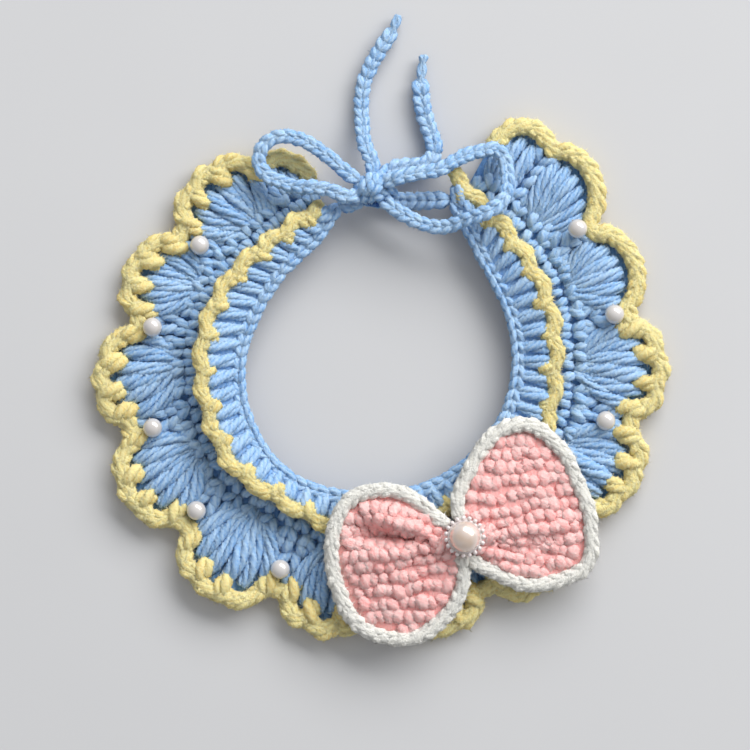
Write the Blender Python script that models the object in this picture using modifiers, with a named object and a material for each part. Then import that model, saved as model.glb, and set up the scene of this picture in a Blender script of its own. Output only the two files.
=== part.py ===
"""Crocheted pet collar, lying flat: two ruffled layers, edgings, beads, a bow and tied cords.

Every size in the tables is in millimetres, and every angle in degrees. An azimuth is
counted clockwise from the back of the neck, seen from above, about the neck's centre.
"""
import math

import bmesh
import bpy
from mathutils import Vector
from mathutils.bvhtree import BVHTree

MM = 0.001
COLLAR_NAME = "crocheted_pet_collar"
ORIGIN_NAME = "collar_origin"

# Driving dimensions
NECK_CENTRE = (-0.3, 11.3)
ORIGIN_SHIFT = (0.05, -0.17)
SEAM_GAP = 0.3
CORD_GAP = 0.35
EDGING_RADIUS = 2.9
UPPER_EDGING_RADIUS = 2.65
NECK_CHAIN_RADIUS = 1.6
NECK_CHAIN_HEIGHT = 6.6
NECK_CHAIN_STEP = 6.6
LOWER_WALL = 3.0
UPPER_WALL = 2.2
NECK_LIFT = 3.0
NECK_ALLOWANCE = 2 * NECK_CHAIN_RADIUS + CORD_GAP
NUB_SWELL = 1.2
PEARL_RADIUS = 3.0
TRIM_RADIUS = 2.35
TIE_RADIUS = 2.4
TIE_PINCH = 0.8
TIE_STEP = 5.6
BEAD_SEGMENTS = (12, 8)
KNOT_SEGMENTS = (14, 9)
TURNED_STEPS = 20
SHARP_ANGLE = 50

# Neckline, front half wider than the back
NECKLINE = (
    # azimuth, radius
    (26.5, 48.6),
    (33.0, 45.3),
    (40.0, 42.8),
    (50.0, 40.3),
    (66.0, 39.6),
    (95.0, 41.5),
    (119.0, 43.1),
    (167.0, 45.3),
    (191.0, 46.5),
    (215.0, 48.1),
    (239.0, 45.9),
    (262.0, 42.5),
    (287.0, 38.1),
    (313.0, 36.3),
    (330.0, 37.2),
    (343.0, 43.1),
)

# Upper layer's edging: its centre line, and how far it stands off the lower layer
UPPER_EDGE = (
    # azimuth, radius, rise
    (23.0, 58.0, 1.0),
    (27.0, 56.3, 1.0),
    (32.0, 54.2, 1.0),
    (43.0, 52.9, 1.5),
    (60.0, 52.9, 2.0),
    (80.0, 54.0, 1.8),
    (95.0, 54.6, 1.5),
    (119.0, 57.5, 0.2),
    (143.0, 57.4, 0.0),
    (160.0, 55.4, 0.0),
    (191.0, 57.8, 0.3),
    (213.0, 57.0, 4.0),
    (230.0, 58.8, 5.0),
    (250.0, 57.0, 5.0),
    (272.0, 54.8, 4.5),
    (290.0, 51.6, 3.5),
    (313.0, 46.8, 2.5),
    (330.0, 46.0, 2.0),
    (337.0, 47.0, 2.0),
)

# Lower layer's scallops: outline radii at the valley before each one and at its tip
SCALLOPS = (
    # start, valley_radius, tip_radius, puffs, lift
    (41.0, 84.3, 87.3, 6, 0.0),
    (60.8, 77.8, 86.0, 6, 0.0),
    (82.5, 80.0, 90.0, 6, 0.0),
    (107.0, 84.0, 91.6, 6, 0.0),
    (131.0, 82.5, 92.4, 6, 0.0),
    (156.5, 85.0, 93.0, 6, 0.0),
    (180.0, 83.5, 92.4, 6, 1.0),
    (203.0, 85.0, 95.4, 6, 2.4),
    (227.5, 85.2, 93.4, 6, 1.6),
    (251.0, 84.2, 89.8, 6, 0.8),
    (275.5, 78.0, 83.0, 6, 0.0),
    (299.0, 73.3, 78.6, 6, 0.0),
)
LAST_VALLEY = (327.0, 70.0)

# Half scallops at the two ends of the lower layer: the edging's centre line
RIGHT_END_EDGE = (
    # azimuth, radius
    (29.3, 71.0),
    (30.6, 77.0),
    (33.2, 81.2),
    (36.4, 82.8),
    (39.4, 81.9),
)
LEFT_END_EDGE = (
    # azimuth, radius
    (328.6, 66.8),
    (331.6, 66.2),
    (334.4, 63.2),
    (336.4, 59.4),
    (337.8, 55.6),
)
END_PUFFS = 3
VALLEY_MARGIN = 0.045
VALLEY_HALF_WIDTH = 2.3
SCALLOP_ROUNDING = 0.6
SCALLOP_POINTS = (
    # share of the scallop's width, swell of the cord
    (VALLEY_MARGIN, 1.0),
    (0.16, 1.0),
    (0.32, NUB_SWELL),
    (0.5, 1.0),
    (0.68, NUB_SWELL),
    (0.84, 1.0),
    (1 - VALLEY_MARGIN, 1.0),
)

# Ribs: columns across one puff or post. Puffs: stations from a shell's base to its edge
RIB_COLUMNS = (
    # share of the rib's width, crown
    (0.0, 0.0),
    (0.3, 1.0),
    (0.7, 1.0),
)
PUFF_STATIONS = (
    # share from base to edge, relief
    (0.0, 0.5),
    (0.35, 2.4),
    (0.78, 2.6),
    (1.0, 0.9),
)
SHELL_BASE_GAP = 9.5
SHELL_BASE_NARROWING = 0.5

# Posts of the upper layer
POST_COUNT = 54
UPPER_NECK_SPAN = (27.2, 342.0)
UPPER_EDGE_SPAN = (23.4, 336.6)
LOWER_NECK_SPAN = (27.0, 342.5)
LOWER_EDGE_SPAN = (28.9, 338.0)
POST_STATIONS = (
    # share from neck to edging, relief
    (0.0, 0.2),
    (0.22, 1.1),
    (0.78, 1.2),
    (1.0, 0.2),
)
POST_END_HALF = 1.1
UPPER_NUB_STEP = 5.75

# Beads in the valleys between the shells
BEADS = (
    # azimuth, radius
    (59.5, 71.0),
    (82.5, 73.2),
    (108.5, 73.8),
    (204.0, 76.0),
    (228.0, 76.6),
    (250.0, 75.0),
    (274.5, 70.7),
    (299.0, 63.9),
)

# Bow: the surface it rests on falls from the upper edging to the shells
BOW_CENTRE = (25.7, -47.6)
BOW_REST_HIGH = 10.8
BOW_REST_LOW = 6.5
BOW_REST_SPAN = (60.0, 94.0)
WING_WALL = 3.0
WING_DOME = 1.6
WING_ROOT = 0.8
WING_COLUMN_STEP = 4.5
WING_STATIONS = (
    # share from the root to the trim, dome
    (0.0, 0.7),
    (0.35, 1.0),
    (0.72, 0.9),
    (1.0, 0.0),
)
LEFT_TRIM = (
    # x, y of the cord's centre line
    (20.2, -44.2), (16.1, -41.1), (12.4, -38.0), (8.4, -35.2), (3.4, -33.6),
    (-2.2, -33.6), (-8.1, -35.2), (-11.8, -38.9), (-14.0, -43.9), (-15.2, -50.7),
    (-14.9, -57.2), (-13.0, -64.6), (-9.9, -71.5), (-5.6, -76.1), (0.9, -78.9),
    (8.4, -79.5), (14.3, -77.3), (19.5, -72.7), (23.3, -67.7), (25.1, -62.2),
    (25.1, -56.6),
)
RIGHT_TRIM = (
    # x, y of the cord's centre line
    (25.0, -43.2), (23.6, -37.7), (24.8, -32.4), (27.6, -26.8), (30.1, -21.9),
    (33.2, -17.8), (37.8, -14.7), (43.7, -13.2), (48.7, -14.7), (53.0, -18.4),
    (56.7, -22.5), (59.5, -28.7), (62.3, -34.9), (64.2, -40.5), (64.8, -47.6),
    (64.8, -53.2), (62.6, -57.8), (57.4, -60.6), (51.2, -62.5), (45.3, -62.8),
    (39.4, -60.9), (34.4, -58.1), (30.4, -56.0),
)
LEFT_WING_ROOT = (20.4, -50.0)
LEFT_WING_SPAN = (96.0, 300.0)
LEFT_FOLDS = (
    # angle at the wing's root, half width, depth
    (145.0, 7.0, 0.5),
    (171.0, 8.0, 2.2),
    (205.0, 8.0, 0.6),
    (236.0, 8.0, 0.5),
)
RIGHT_WING_ROOT = (30.6, -48.6)
RIGHT_WING_SPAN = (-86.0, 130.0)
RIGHT_FOLDS = (
    # angle at the wing's root, half width, depth
    (-22.0, 4.5, 0.9),
    (-11.0, 4.0, 0.9),
    (1.0, 4.0, 0.8),
    (32.0, 6.0, 0.5),
    (64.0, 7.0, 0.7),
    (94.0, 6.0, 0.5),
)
SETTING_RADIUS = 6.3
SETTING_HEIGHT = 2.0
CABOCHON_RADIUS = 4.8
CABOCHON_HEIGHT = 4.2

# Tied cords: route points, chosen by hand
KNOT_CENTRE = (-2.8, 59.4, 8.6)
KNOT_RADII = (4.6, 4.0, 4.6)
LEFT_LOOP = (
    # x, y, z
    (-6.7, 61.9, 9.9), (-10.2, 64.2, 10.8), (-15.8, 69.0, 10.8), (-20.5, 72.4, 10.4),
    (-25.1, 74.9, 10.4), (-29.8, 75.8, 10.2), (-33.8, 74.9, 10.0), (-36.9, 71.8, 10.0),
    (-37.8, 67.7, 10.0), (-35.7, 64.0, 10.2), (-31.3, 61.8, 10.4), (-26.7, 60.3, 10.8),
    (-20.5, 59.8, 12.2), (-14.8, 58.7, 13.0), (-10.4, 56.8, 12.4), (-6.9, 57.7, 10.8),
)
RIGHT_LOOP = (
    # x, y, z
    (0.8, 61.0, 11.5), (3.9, 62.3, 13.4), (9.6, 63.8, 13.6), (18.3, 65.6, 12.8),
    (24.5, 69.0, 11.4), (30.7, 71.2, 10.2), (36.0, 71.6, 9.8), (38.4, 68.1, 9.8),
    (39.1, 63.1, 11.4), (37.8, 56.3, 13.8), (33.2, 52.5, 15.4), (27.6, 50.4, 14.4),
    (18.3, 47.6, 12.0), (12.4, 48.8, 11.4), (6.9, 51.6, 11.6), (3.3, 53.9, 11.2),
    (0.5, 56.4, 10.1),
)
LEFT_TAIL = (
    # x, y, z
    (-2.6, 63.7, 9.4), (-2.7, 67.4, 9.2), (-5.0, 73.3, 6.6), (-5.9, 82.6, 3.2),
    (-5.6, 91.6, 2.6), (-2.8, 98.7, 2.6), (0.6, 104.6, 2.6), (4.0, 109.9, 2.6),
    (5.3, 113.6, 2.6),
)
RIGHT_TAIL = (
    # x, y, z
    (0.1, 62.6, 6.8), (2.7, 65.2, 5.8), (7.0, 66.6, 5.4), (11.8, 67.0, 4.9),
    (15.2, 68.4, 4.3), (16.6, 71.8, 3.6), (15.5, 76.7, 2.8), (13.0, 85.1, 2.6),
    (12.4, 92.8, 2.6), (12.7, 97.0, 2.6), (13.3, 101.2, 2.6),
)
LEFT_NECK_CORD = (
    # x, y, z
    (-12.4, 54.4, 6.5), (-9.4, 55.3, 5.9), (-6.2, 56.8, 6.6),
)
RIGHT_NECK_CORD = (
    # x, y, z
    (20.8, 56.3, 6.6), (17.5, 56.2, 6.0), (11.5, 56.0, 4.6), (5.0, 56.2, 4.4),
    (1.1, 57.7, 6.1),
)


def material(name, colour, roughness):
    """Return a Principled material of one colour."""
    shade = bpy.data.materials.new(name)
    shade.use_nodes = True
    principled = shade.node_tree.nodes["Principled BSDF"]
    principled.inputs["Base Color"].default_value = (*colour, 1.0)
    principled.inputs["Roughness"].default_value = roughness
    principled.inputs["Metallic"].default_value = 0.0
    return shade


def place(obj, shade):
    """Give an object its material and put it in the collar's collection, under its origin."""
    obj.data.materials.append(shade)
    collection = bpy.data.collections[COLLAR_NAME]
    obj.parent = collection.objects[ORIGIN_NAME]
    collection.objects.link(obj)
    return obj


def set_origin():
    """Add the empty that centres the collar's own box over the origin."""
    origin = bpy.data.objects.new(ORIGIN_NAME, None)
    origin.location = (ORIGIN_SHIFT[0] * MM, ORIGIN_SHIFT[1] * MM, 0.0)
    bpy.data.collections[COLLAR_NAME].objects.link(origin)


def smooth_value(table, at, column=1):
    """Read a table's column between its rows along a smooth curve."""
    last = len(table) - 1
    if at <= table[0][0]:
        return table[0][column]
    if at >= table[last][0]:
        return table[last][column]
    row = max(i for i in range(last) if table[i][0] <= at)

    def slope(i):
        before = table[max(i - 1, 0)]
        after = table[min(i + 1, last)]
        return (after[column] - before[column]) / (after[0] - before[0])

    width = table[row + 1][0] - table[row][0]
    t = (at - table[row][0]) / width
    return (
        (2 * t**3 - 3 * t**2 + 1) * table[row][column]
        + (t**3 - 2 * t**2 + t) * width * slope(row)
        + (3 * t**2 - 2 * t**3) * table[row + 1][column]
        + (t**3 - t**2) * width * slope(row + 1)
    )


def across(span, share):
    """Return the value at a share of a span."""
    return span[0] + (span[1] - span[0]) * share


def polar(azimuth, radius, height):
    """Return the point at an azimuth and radius about the neck's centre."""
    turn = math.radians(azimuth)
    x = NECK_CENTRE[0] + radius * math.sin(turn)
    y = NECK_CENTRE[1] + radius * math.cos(turn)
    return Vector((x, y, height))


def neck_radius(azimuth):
    return smooth_value(NECKLINE, azimuth)


def clearance(point, route):
    """Return how far a point lies, seen from above, outside a cord of varying radius."""
    nearest = math.inf
    for (start, start_radius), (end, end_radius) in zip(route, route[1:]):
        along = (end - start).xy
        share = (point - start).xy.dot(along) / along.length_squared
        share = min(max(share, 0.0), 1.0)
        radius = start_radius + (end_radius - start_radius) * share
        nearest = min(nearest, (point.xy - start.xy - along * share).length - radius)
    return nearest


def reach(start, direction, route, gap, stride=0.8, rounds=12):
    """Return how far a level ray goes before it comes within the gap of a cord."""
    clear = 0.0
    while clearance(start + direction * (clear + stride), route) > gap:
        clear += stride
    blocked = clear + stride
    for _ in range(rounds):
        middle = (clear + blocked) / 2
        if clearance(start + direction * middle, route) > gap:
            clear = middle
        else:
            blocked = middle
    return clear


def cord(name, route, shade, resolution=2):
    """Make a tube along a route of points, each with its own radius."""
    thickest = max(radius for _, radius in route)
    curve = bpy.data.curves.new(name, "CURVE")
    curve.dimensions = "3D"
    curve.bevel_depth = thickest * MM
    curve.bevel_resolution = resolution
    curve.use_fill_caps = True
    spline = curve.splines.new("POLY")
    spline.points.add(len(route) - 1)
    for point, (position, radius) in zip(spline.points, route):
        point.co = (*(position * MM), 1.0)
        point.radius = radius / thickest
    return place(bpy.data.objects.new(name, curve), shade)


def loft(name, sections, shade):
    """Make a closed wall through closed sections, clockwise from above, outward over the top."""
    mesh = bmesh.new()
    rings = [[mesh.verts.new(point * MM) for point in section] for section in sections]
    for ring, following in zip(rings, rings[1:]):
        for i, corner in enumerate(ring):
            j = (i + 1) % len(ring)
            mesh.faces.new((corner, following[i], following[j], ring[j]))
    mesh.faces.new(rings[0])
    mesh.faces.new(reversed(rings[-1]))
    bmesh.ops.triangulate(mesh, faces=mesh.faces[:])
    data = bpy.data.meshes.new(name)
    mesh.to_mesh(data)
    mesh.free()
    data.shade_smooth()
    data.set_sharp_from_angle(angle=math.radians(SHARP_ANGLE))
    return place(bpy.data.objects.new(name, data), shade)


def smooth_route(points, step):
    """Return points a step apart on a smooth curve through a route's own points."""
    knots = [Vector(point) for point in points]
    lengths = [0.0]
    for before, after in zip(knots, knots[1:]):
        lengths.append(lengths[-1] + (after - before).length)
    tables = [[(s, knot[axis]) for s, knot in zip(lengths, knots)] for axis in range(3)]
    count = math.ceil(lengths[-1] / step)
    stations = [lengths[-1] * i / count for i in range(count + 1)]
    return [Vector([smooth_value(table, s) for table in tables]) for s in stations]


def scallop_ends():
    """Return each scallop's start and end with the valley radii there."""
    starts = [(row[0], row[1]) for row in SCALLOPS]
    return list(zip(starts, starts[1:] + [LAST_VALLEY]))


def scallop_lift(azimuth):
    """Return how far the edge curls up from the surface at an azimuth."""
    for (start, end), row in zip(scallop_ends(), SCALLOPS):
        if start[0] <= azimuth <= end[0]:
            share = (azimuth - start[0]) / (end[0] - start[0])
            return row[4] * math.sin(math.pi * share)
    return 0.0


def outer_edging_route():
    """Return the centre line of the lower layer's edging with its radius at each point."""
    flat = [(azimuth, radius, 1.0) for azimuth, radius in RIGHT_END_EDGE]
    for (start, end), row in zip(scallop_ends(), SCALLOPS):
        middle = (start[1] + end[1]) / 2
        for share, swell in SCALLOP_POINTS:
            azimuth = start[0] + (end[0] - start[0]) * share
            valley = start[1] + (end[1] - start[1]) * share
            width = (share - VALLEY_MARGIN) / (1 - 2 * VALLEY_MARGIN)
            bulge = max(math.sin(math.pi * width), 0.0) ** SCALLOP_ROUNDING
            outline = valley + (row[2] - middle) * bulge
            flat.append((azimuth, outline - EDGING_RADIUS * swell, swell))
    flat += [(azimuth, radius, 1.0) for azimuth, radius in LEFT_END_EDGE]
    route = []
    for azimuth, radius, swell in flat:
        height = EDGING_RADIUS * NUB_SWELL + scallop_lift(azimuth)
        route.append((polar(azimuth, radius, height), EDGING_RADIUS * swell))
    return route


def upper_edging_route():
    """Return the centre line of the upper layer's edging, with a nub at every other point."""
    count = 2 * round((UPPER_EDGE_SPAN[1] - UPPER_EDGE_SPAN[0]) / (2 * UPPER_NUB_STEP))
    route = []
    for i in range(count + 1):
        azimuth = across((UPPER_EDGE[0][0], UPPER_EDGE[-1][0]), i / count)
        swell = NUB_SWELL if i % 2 else 1.0
        radius = smooth_value(UPPER_EDGE, azimuth) - UPPER_EDGING_RADIUS * (swell - 1)
        height = LOWER_WALL + CORD_GAP + UPPER_EDGING_RADIUS * NUB_SWELL
        height += smooth_value(UPPER_EDGE, azimuth, column=2)
        route.append((polar(azimuth, radius, height), UPPER_EDGING_RADIUS * swell))
    return route


def neck_chain_route():
    """Return the centre line of the chain round the neckline."""
    count = round((NECKLINE[-1][0] - NECKLINE[0][0]) / NECK_CHAIN_STEP)
    route = []
    for i in range(count + 1):
        azimuth = across((NECKLINE[0][0], NECKLINE[-1][0]), i / count)
        radius = neck_radius(azimuth) + NECK_CHAIN_RADIUS
        route.append((polar(azimuth, radius, NECK_CHAIN_HEIGHT), NECK_CHAIN_RADIUS))
    return route


def inside_radius(azimuth, route, gap=CORD_GAP):
    """Return the radius at which the cloth stops just inside an edging."""
    start_radius = neck_radius(azimuth)
    start = polar(azimuth, start_radius, 0.0)
    outward = (polar(azimuth, start_radius + 1.0, 0.0) - start).normalized()
    return start_radius + reach(start, outward, route, gap)


def shell_columns():
    """Return edge azimuth, base azimuth and crown of each column of the lower layer."""
    spans = [(LOWER_EDGE_SPAN[0], SCALLOPS[0][0] - VALLEY_HALF_WIDTH, END_PUFFS)]
    for (start, end), row in zip(scallop_ends(), SCALLOPS):
        first = start[0] + VALLEY_HALF_WIDTH
        spans.append((first, end[0] - VALLEY_HALF_WIDTH, row[3]))
    spans.append((LAST_VALLEY[0] + VALLEY_HALF_WIDTH, LOWER_EDGE_SPAN[1], END_PUFFS))
    columns = []
    for first, last, puffs in spans:
        middle = (first + last) / 2
        narrowing = 1.0 if puffs == END_PUFFS else SHELL_BASE_NARROWING
        ribs = [(puff + share, crown) for puff in range(puffs) for share, crown in RIB_COLUMNS]
        for rib, crown in ribs + [(puffs, 0.0)]:
            azimuth = across((first, last), rib / puffs)
            columns.append((azimuth, middle + (azimuth - middle) * narrowing, crown))
    return columns


def lower_collar(edging, shade):
    """Make the wide lower layer: a plain underside, and shells of raised puffs on top."""
    sections = []
    for azimuth, base_azimuth, crown in shell_columns():
        share = (azimuth - LOWER_EDGE_SPAN[0]) / (LOWER_EDGE_SPAN[1] - LOWER_EDGE_SPAN[0])
        neck_azimuth = across(LOWER_NECK_SPAN, share)
        neck = neck_radius(neck_azimuth) + NECK_ALLOWANCE
        fold = smooth_value(UPPER_EDGE, neck_azimuth)
        edge_radius = inside_radius(azimuth, edging)
        edge = polar(azimuth, edge_radius, 0.0)
        base_radius = min(fold + SHELL_BASE_GAP, (fold + edge_radius) / 2)
        base = polar(base_azimuth, base_radius, 0.0)
        lift = scallop_lift(azimuth)
        top = [
            polar(neck_azimuth, neck, NECK_LIFT + LOWER_WALL),
            polar(neck_azimuth, fold, LOWER_WALL),
        ]
        for station, relief in PUFF_STATIONS:
            height = LOWER_WALL + relief * crown + lift * station
            top.append(base.lerp(edge, station) + Vector((0.0, 0.0, height)))
        bottom = [
            edge + Vector((0.0, 0.0, lift)),
            base,
            polar(neck_azimuth, fold, 0.0),
            polar(neck_azimuth, neck, NECK_LIFT),
        ]
        sections.append(top + bottom)
    return loft("lower_collar", sections, shade)


def upper_collar(edging, shade):
    """Make the narrow upper layer, whose posts stand up from neck to edging."""
    posts = range(POST_COUNT)
    columns = [(post + share, crown) for post in posts for share, crown in RIB_COLUMNS]
    sections = []
    for post, crown in columns + [(POST_COUNT, 0.0)]:
        neck_azimuth = across(UPPER_NECK_SPAN, post / POST_COUNT)
        edge_azimuth = across(UPPER_EDGE_SPAN, post / POST_COUNT)
        rise = smooth_value(UPPER_EDGE, edge_azimuth, column=2)
        middle = LOWER_WALL + CORD_GAP + UPPER_EDGING_RADIUS * NUB_SWELL + rise
        neck_height = NECK_LIFT + LOWER_WALL + SEAM_GAP
        neck = polar(neck_azimuth, neck_radius(neck_azimuth) + NECK_ALLOWANCE, neck_height)
        edge = polar(edge_azimuth, inside_radius(edge_azimuth, edging), middle - POST_END_HALF)
        top = []
        for station, relief in POST_STATIONS:
            height = UPPER_WALL + relief * crown
            top.append(neck.lerp(edge, station) + Vector((0.0, 0.0, height)))
        sections.append(top + [edge, neck])
    return loft("upper_collar", sections, shade)


def carrier_tree(obj):
    """Return a search tree over an object's evaluated surface, in millimetres."""
    evaluated = obj.evaluated_get(bpy.context.evaluated_depsgraph_get())
    data = evaluated.to_mesh()
    corners = [vertex.co / MM for vertex in data.vertices]
    faces = [tuple(face.vertices) for face in data.polygons]
    evaluated.to_mesh_clear()
    return BVHTree.FromPolygons(corners, faces)


def seat_height(x, y, radius, carriers, top=20.0, rounds=14):
    """Return the height at which a ball, let down, comes to rest a seam's gap above its carriers."""
    low, high = radius, top
    for _ in range(rounds):
        middle = (low + high) / 2
        ball = Vector((x, y, middle))
        if min(tree.find_nearest(ball)[3] for tree in carriers) > radius + SEAM_GAP:
            high = middle
        else:
            low = middle
    return high


def ball(name, centre, radii, segments, shade):
    """Make a ball, or an egg-shaped one, about its centre."""
    mesh = bmesh.new()
    around, down = segments
    bmesh.ops.create_uvsphere(mesh, u_segments=around, v_segments=down, radius=MM)
    bmesh.ops.scale(mesh, vec=Vector(radii), verts=mesh.verts[:])
    data = bpy.data.meshes.new(name)
    mesh.to_mesh(data)
    mesh.free()
    data.shade_smooth()
    obj = place(bpy.data.objects.new(name, data), shade)
    obj.location = Vector(centre) * MM
    return obj


def bow_rest(point):
    """Return the height of the bow's underside over a point of the collar."""
    radius = (point.xy - Vector(NECK_CENTRE)).length
    share = (radius - BOW_REST_SPAN[0]) / (BOW_REST_SPAN[1] - BOW_REST_SPAN[0])
    return across((BOW_REST_HIGH, BOW_REST_LOW), min(max(share, 0.0), 1.0))


def trim_route(points):
    """Return the centre line of a wing's trim, lying on the collar."""
    route = []
    for x, y in points:
        point = Vector((x, y, 0.0))
        point.z = bow_rest(point) + TRIM_RADIUS
        route.append((point, TRIM_RADIUS))
    return route


def bow_wing(name, trim, root, span, folds, shade):
    """Make one wing of the bow: a domed wall inside its trim, folded towards its root."""
    centre = Vector((*root, 0.0))
    count = round((span[1] - span[0]) / WING_COLUMN_STEP)
    sections = []
    for i in range(count + 1):
        angle = across(span, 1 - i / count)
        turn = math.radians(angle)
        outward = Vector((math.cos(turn), math.sin(turn), 0.0))
        length = reach(centre + outward * WING_ROOT, outward, trim, CORD_GAP)
        sink = sum(depth * math.exp(-(((angle - at) / half) ** 2)) for at, half, depth in folds)
        underside = []
        top = []
        for station, dome in WING_STATIONS:
            point = centre + outward * (WING_ROOT + length * station)
            height = bow_rest(point) + WING_DOME * dome
            fade = dome if station > 0 else 0.0
            underside.append(Vector((point.x, point.y, height)))
            top.append(Vector((point.x, point.y, height + WING_WALL - sink * fade)))
        sections.append(top + underside[::-1])
    return loft(name, sections, shade)


def turned(name, profile, x, y, z, shade, steps=TURNED_STEPS):
    """Make a turned piece from its profile, given from the top down as radius and height."""
    data = bpy.data.meshes.new(name)
    corners = [(radius * MM, 0.0, height * MM) for radius, height in profile]
    data.from_pydata(corners, [(i, i + 1) for i in range(len(corners) - 1)], [])
    obj = place(bpy.data.objects.new(name, data), shade)
    obj.location = (x * MM, y * MM, z * MM)
    screw = obj.modifiers.new("turn", "SCREW")
    screw.steps = steps
    screw.render_steps = steps
    screw.use_merge_vertices = True
    screw.merge_threshold = 0.00001
    screw.use_smooth_shade = True
    return obj


def cabochon_profile():
    """Return the half round of the large bead, from its crown to its flat base."""
    arc = 6
    turns = [math.pi / 2 * i / arc for i in range(arc + 1)]
    dome = [(CABOCHON_RADIUS * math.sin(t), CABOCHON_HEIGHT * math.cos(t)) for t in turns]
    return dome + [(0.0, 0.0)]


def setting_profile():
    """Return the setting: a low disc with a rounded rim."""
    edge = 0.7
    return [
        (0.0, SETTING_HEIGHT),
        (SETTING_RADIUS - edge, SETTING_HEIGHT),
        (SETTING_RADIUS, SETTING_HEIGHT - edge),
        (SETTING_RADIUS, edge),
        (SETTING_RADIUS - edge, 0.0),
        (0.0, 0.0),
    ]


def tie(name, points, shade, pinched):
    """Make one stretch of the tie cords, drawn in where the knot grips it."""
    route = [(point, TIE_RADIUS) for point in smooth_route(points, TIE_STEP)]
    for end in pinched:
        route[end] = (route[end][0], TIE_RADIUS * TIE_PINCH)
    cord(name, route, shade)


def build_collar():
    """Build every piece in the order in which a maker would join them."""
    blue = material("light_blue_yarn", (0.40, 0.62, 0.86), 0.9)
    yellow = material("pale_yellow_yarn", (0.90, 0.80, 0.42), 0.9)
    pink = material("pink_yarn", (0.90, 0.50, 0.50), 0.9)
    white = material("off_white_yarn", (0.86, 0.85, 0.80), 0.9)
    pearl = material("white_pearl", (0.86, 0.84, 0.82), 0.25)

    outer_route = outer_edging_route()
    upper_route = upper_edging_route()
    lower = lower_collar(outer_route, blue)
    outer_edging = cord("outer_edging", outer_route, yellow)
    upper_collar(upper_route, blue)
    cord("upper_edging", upper_route, yellow)
    cord("neck_chain", neck_chain_route(), blue, resolution=1)

    carriers = [carrier_tree(lower), carrier_tree(outer_edging)]
    for number, (azimuth, radius) in enumerate(BEADS, start=1):
        spot = polar(azimuth, radius, 0.0)
        height = seat_height(spot.x, spot.y, PEARL_RADIUS, carriers)
        ball(f"bead_{number}", (*spot.xy, height), [PEARL_RADIUS] * 3, BEAD_SEGMENTS, pearl)

    left_trim = trim_route(LEFT_TRIM)
    right_trim = trim_route(RIGHT_TRIM)
    cord("bow_left_trim", left_trim, white)
    cord("bow_right_trim", right_trim, white)
    bow_wing("bow_left_wing", left_trim, LEFT_WING_ROOT, LEFT_WING_SPAN, LEFT_FOLDS, pink)
    bow_wing("bow_right_wing", right_trim, RIGHT_WING_ROOT, RIGHT_WING_SPAN, RIGHT_FOLDS, pink)

    setting_height = BOW_REST_HIGH + 2 * TRIM_RADIUS + SEAM_GAP
    turned("cabochon_setting", setting_profile(), *BOW_CENTRE, setting_height, pearl)
    cabochon_height = setting_height + SETTING_HEIGHT + SEAM_GAP
    turned("cabochon", cabochon_profile(), *BOW_CENTRE, cabochon_height, pearl)

    ball("tie_knot", KNOT_CENTRE, KNOT_RADII, KNOT_SEGMENTS, blue)
    first, last = 0, -1
    tie("tie_left_neck", LEFT_NECK_CORD, blue, pinched=[last])
    tie("tie_right_neck", RIGHT_NECK_CORD, blue, pinched=[last])
    tie("tie_left_loop", LEFT_LOOP, blue, pinched=[first, last])
    tie("tie_right_loop", RIGHT_LOOP, blue, pinched=[first, last])
    tie("tie_left_tail", LEFT_TAIL, blue, pinched=[first])
    tie("tie_right_tail", RIGHT_TAIL, blue, pinched=[first])


for leftover in list(bpy.data.objects):
    bpy.data.objects.remove(leftover, do_unlink=True)
bpy.context.scene.collection.children.link(bpy.data.collections.new(COLLAR_NAME))
set_origin()
build_collar()
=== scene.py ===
"""Crocheted pet collar, laid flat on a pale table and seen from straight above.

Sizes are in millimetres, and the points of routes and outlines are x, y and, where given, z.
An azimuth is in degrees, clockwise from the back of the neck, seen from above, about the
neck's centre.
"""

import math

import bpy
import numpy as np
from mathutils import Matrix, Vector


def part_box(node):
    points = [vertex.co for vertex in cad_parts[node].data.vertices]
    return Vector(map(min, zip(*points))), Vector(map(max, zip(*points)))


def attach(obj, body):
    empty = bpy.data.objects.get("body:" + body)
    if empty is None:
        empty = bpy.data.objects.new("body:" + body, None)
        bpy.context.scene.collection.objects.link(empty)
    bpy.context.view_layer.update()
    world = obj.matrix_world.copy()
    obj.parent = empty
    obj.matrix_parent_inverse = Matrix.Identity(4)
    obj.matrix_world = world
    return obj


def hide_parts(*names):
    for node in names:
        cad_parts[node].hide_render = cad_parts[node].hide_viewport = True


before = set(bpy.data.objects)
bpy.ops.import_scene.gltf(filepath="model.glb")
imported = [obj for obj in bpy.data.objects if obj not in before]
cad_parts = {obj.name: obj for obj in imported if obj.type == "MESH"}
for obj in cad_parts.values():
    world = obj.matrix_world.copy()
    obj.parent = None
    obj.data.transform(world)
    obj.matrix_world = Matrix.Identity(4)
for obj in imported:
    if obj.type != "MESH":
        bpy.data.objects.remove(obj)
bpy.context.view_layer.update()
bpy.ops.object.select_all(action="DESELECT")

# --- Camera
# It hangs straight above the table. The width seen is the width at the height of the yarn,
# half way up the collar.
MM = 0.001
VIEW_CENTRE = (-1.81, 1.85)
VIEW_WIDTH = 232.5
VIEW_LEVEL = 6.0
CAMERA_HEIGHT = 1100.0
SENSOR = 36.0

bpy.ops.object.camera_add(
    location=(VIEW_CENTRE[0] * MM, VIEW_CENTRE[1] * MM, CAMERA_HEIGHT * MM)
)
camera = bpy.context.object
camera.data.sensor_width = SENSOR
camera.data.lens = SENSOR * (CAMERA_HEIGHT - VIEW_LEVEL) / VIEW_WIDTH
bpy.context.scene.camera = camera
bpy.context.scene.view_settings.view_transform = "Standard"

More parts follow.
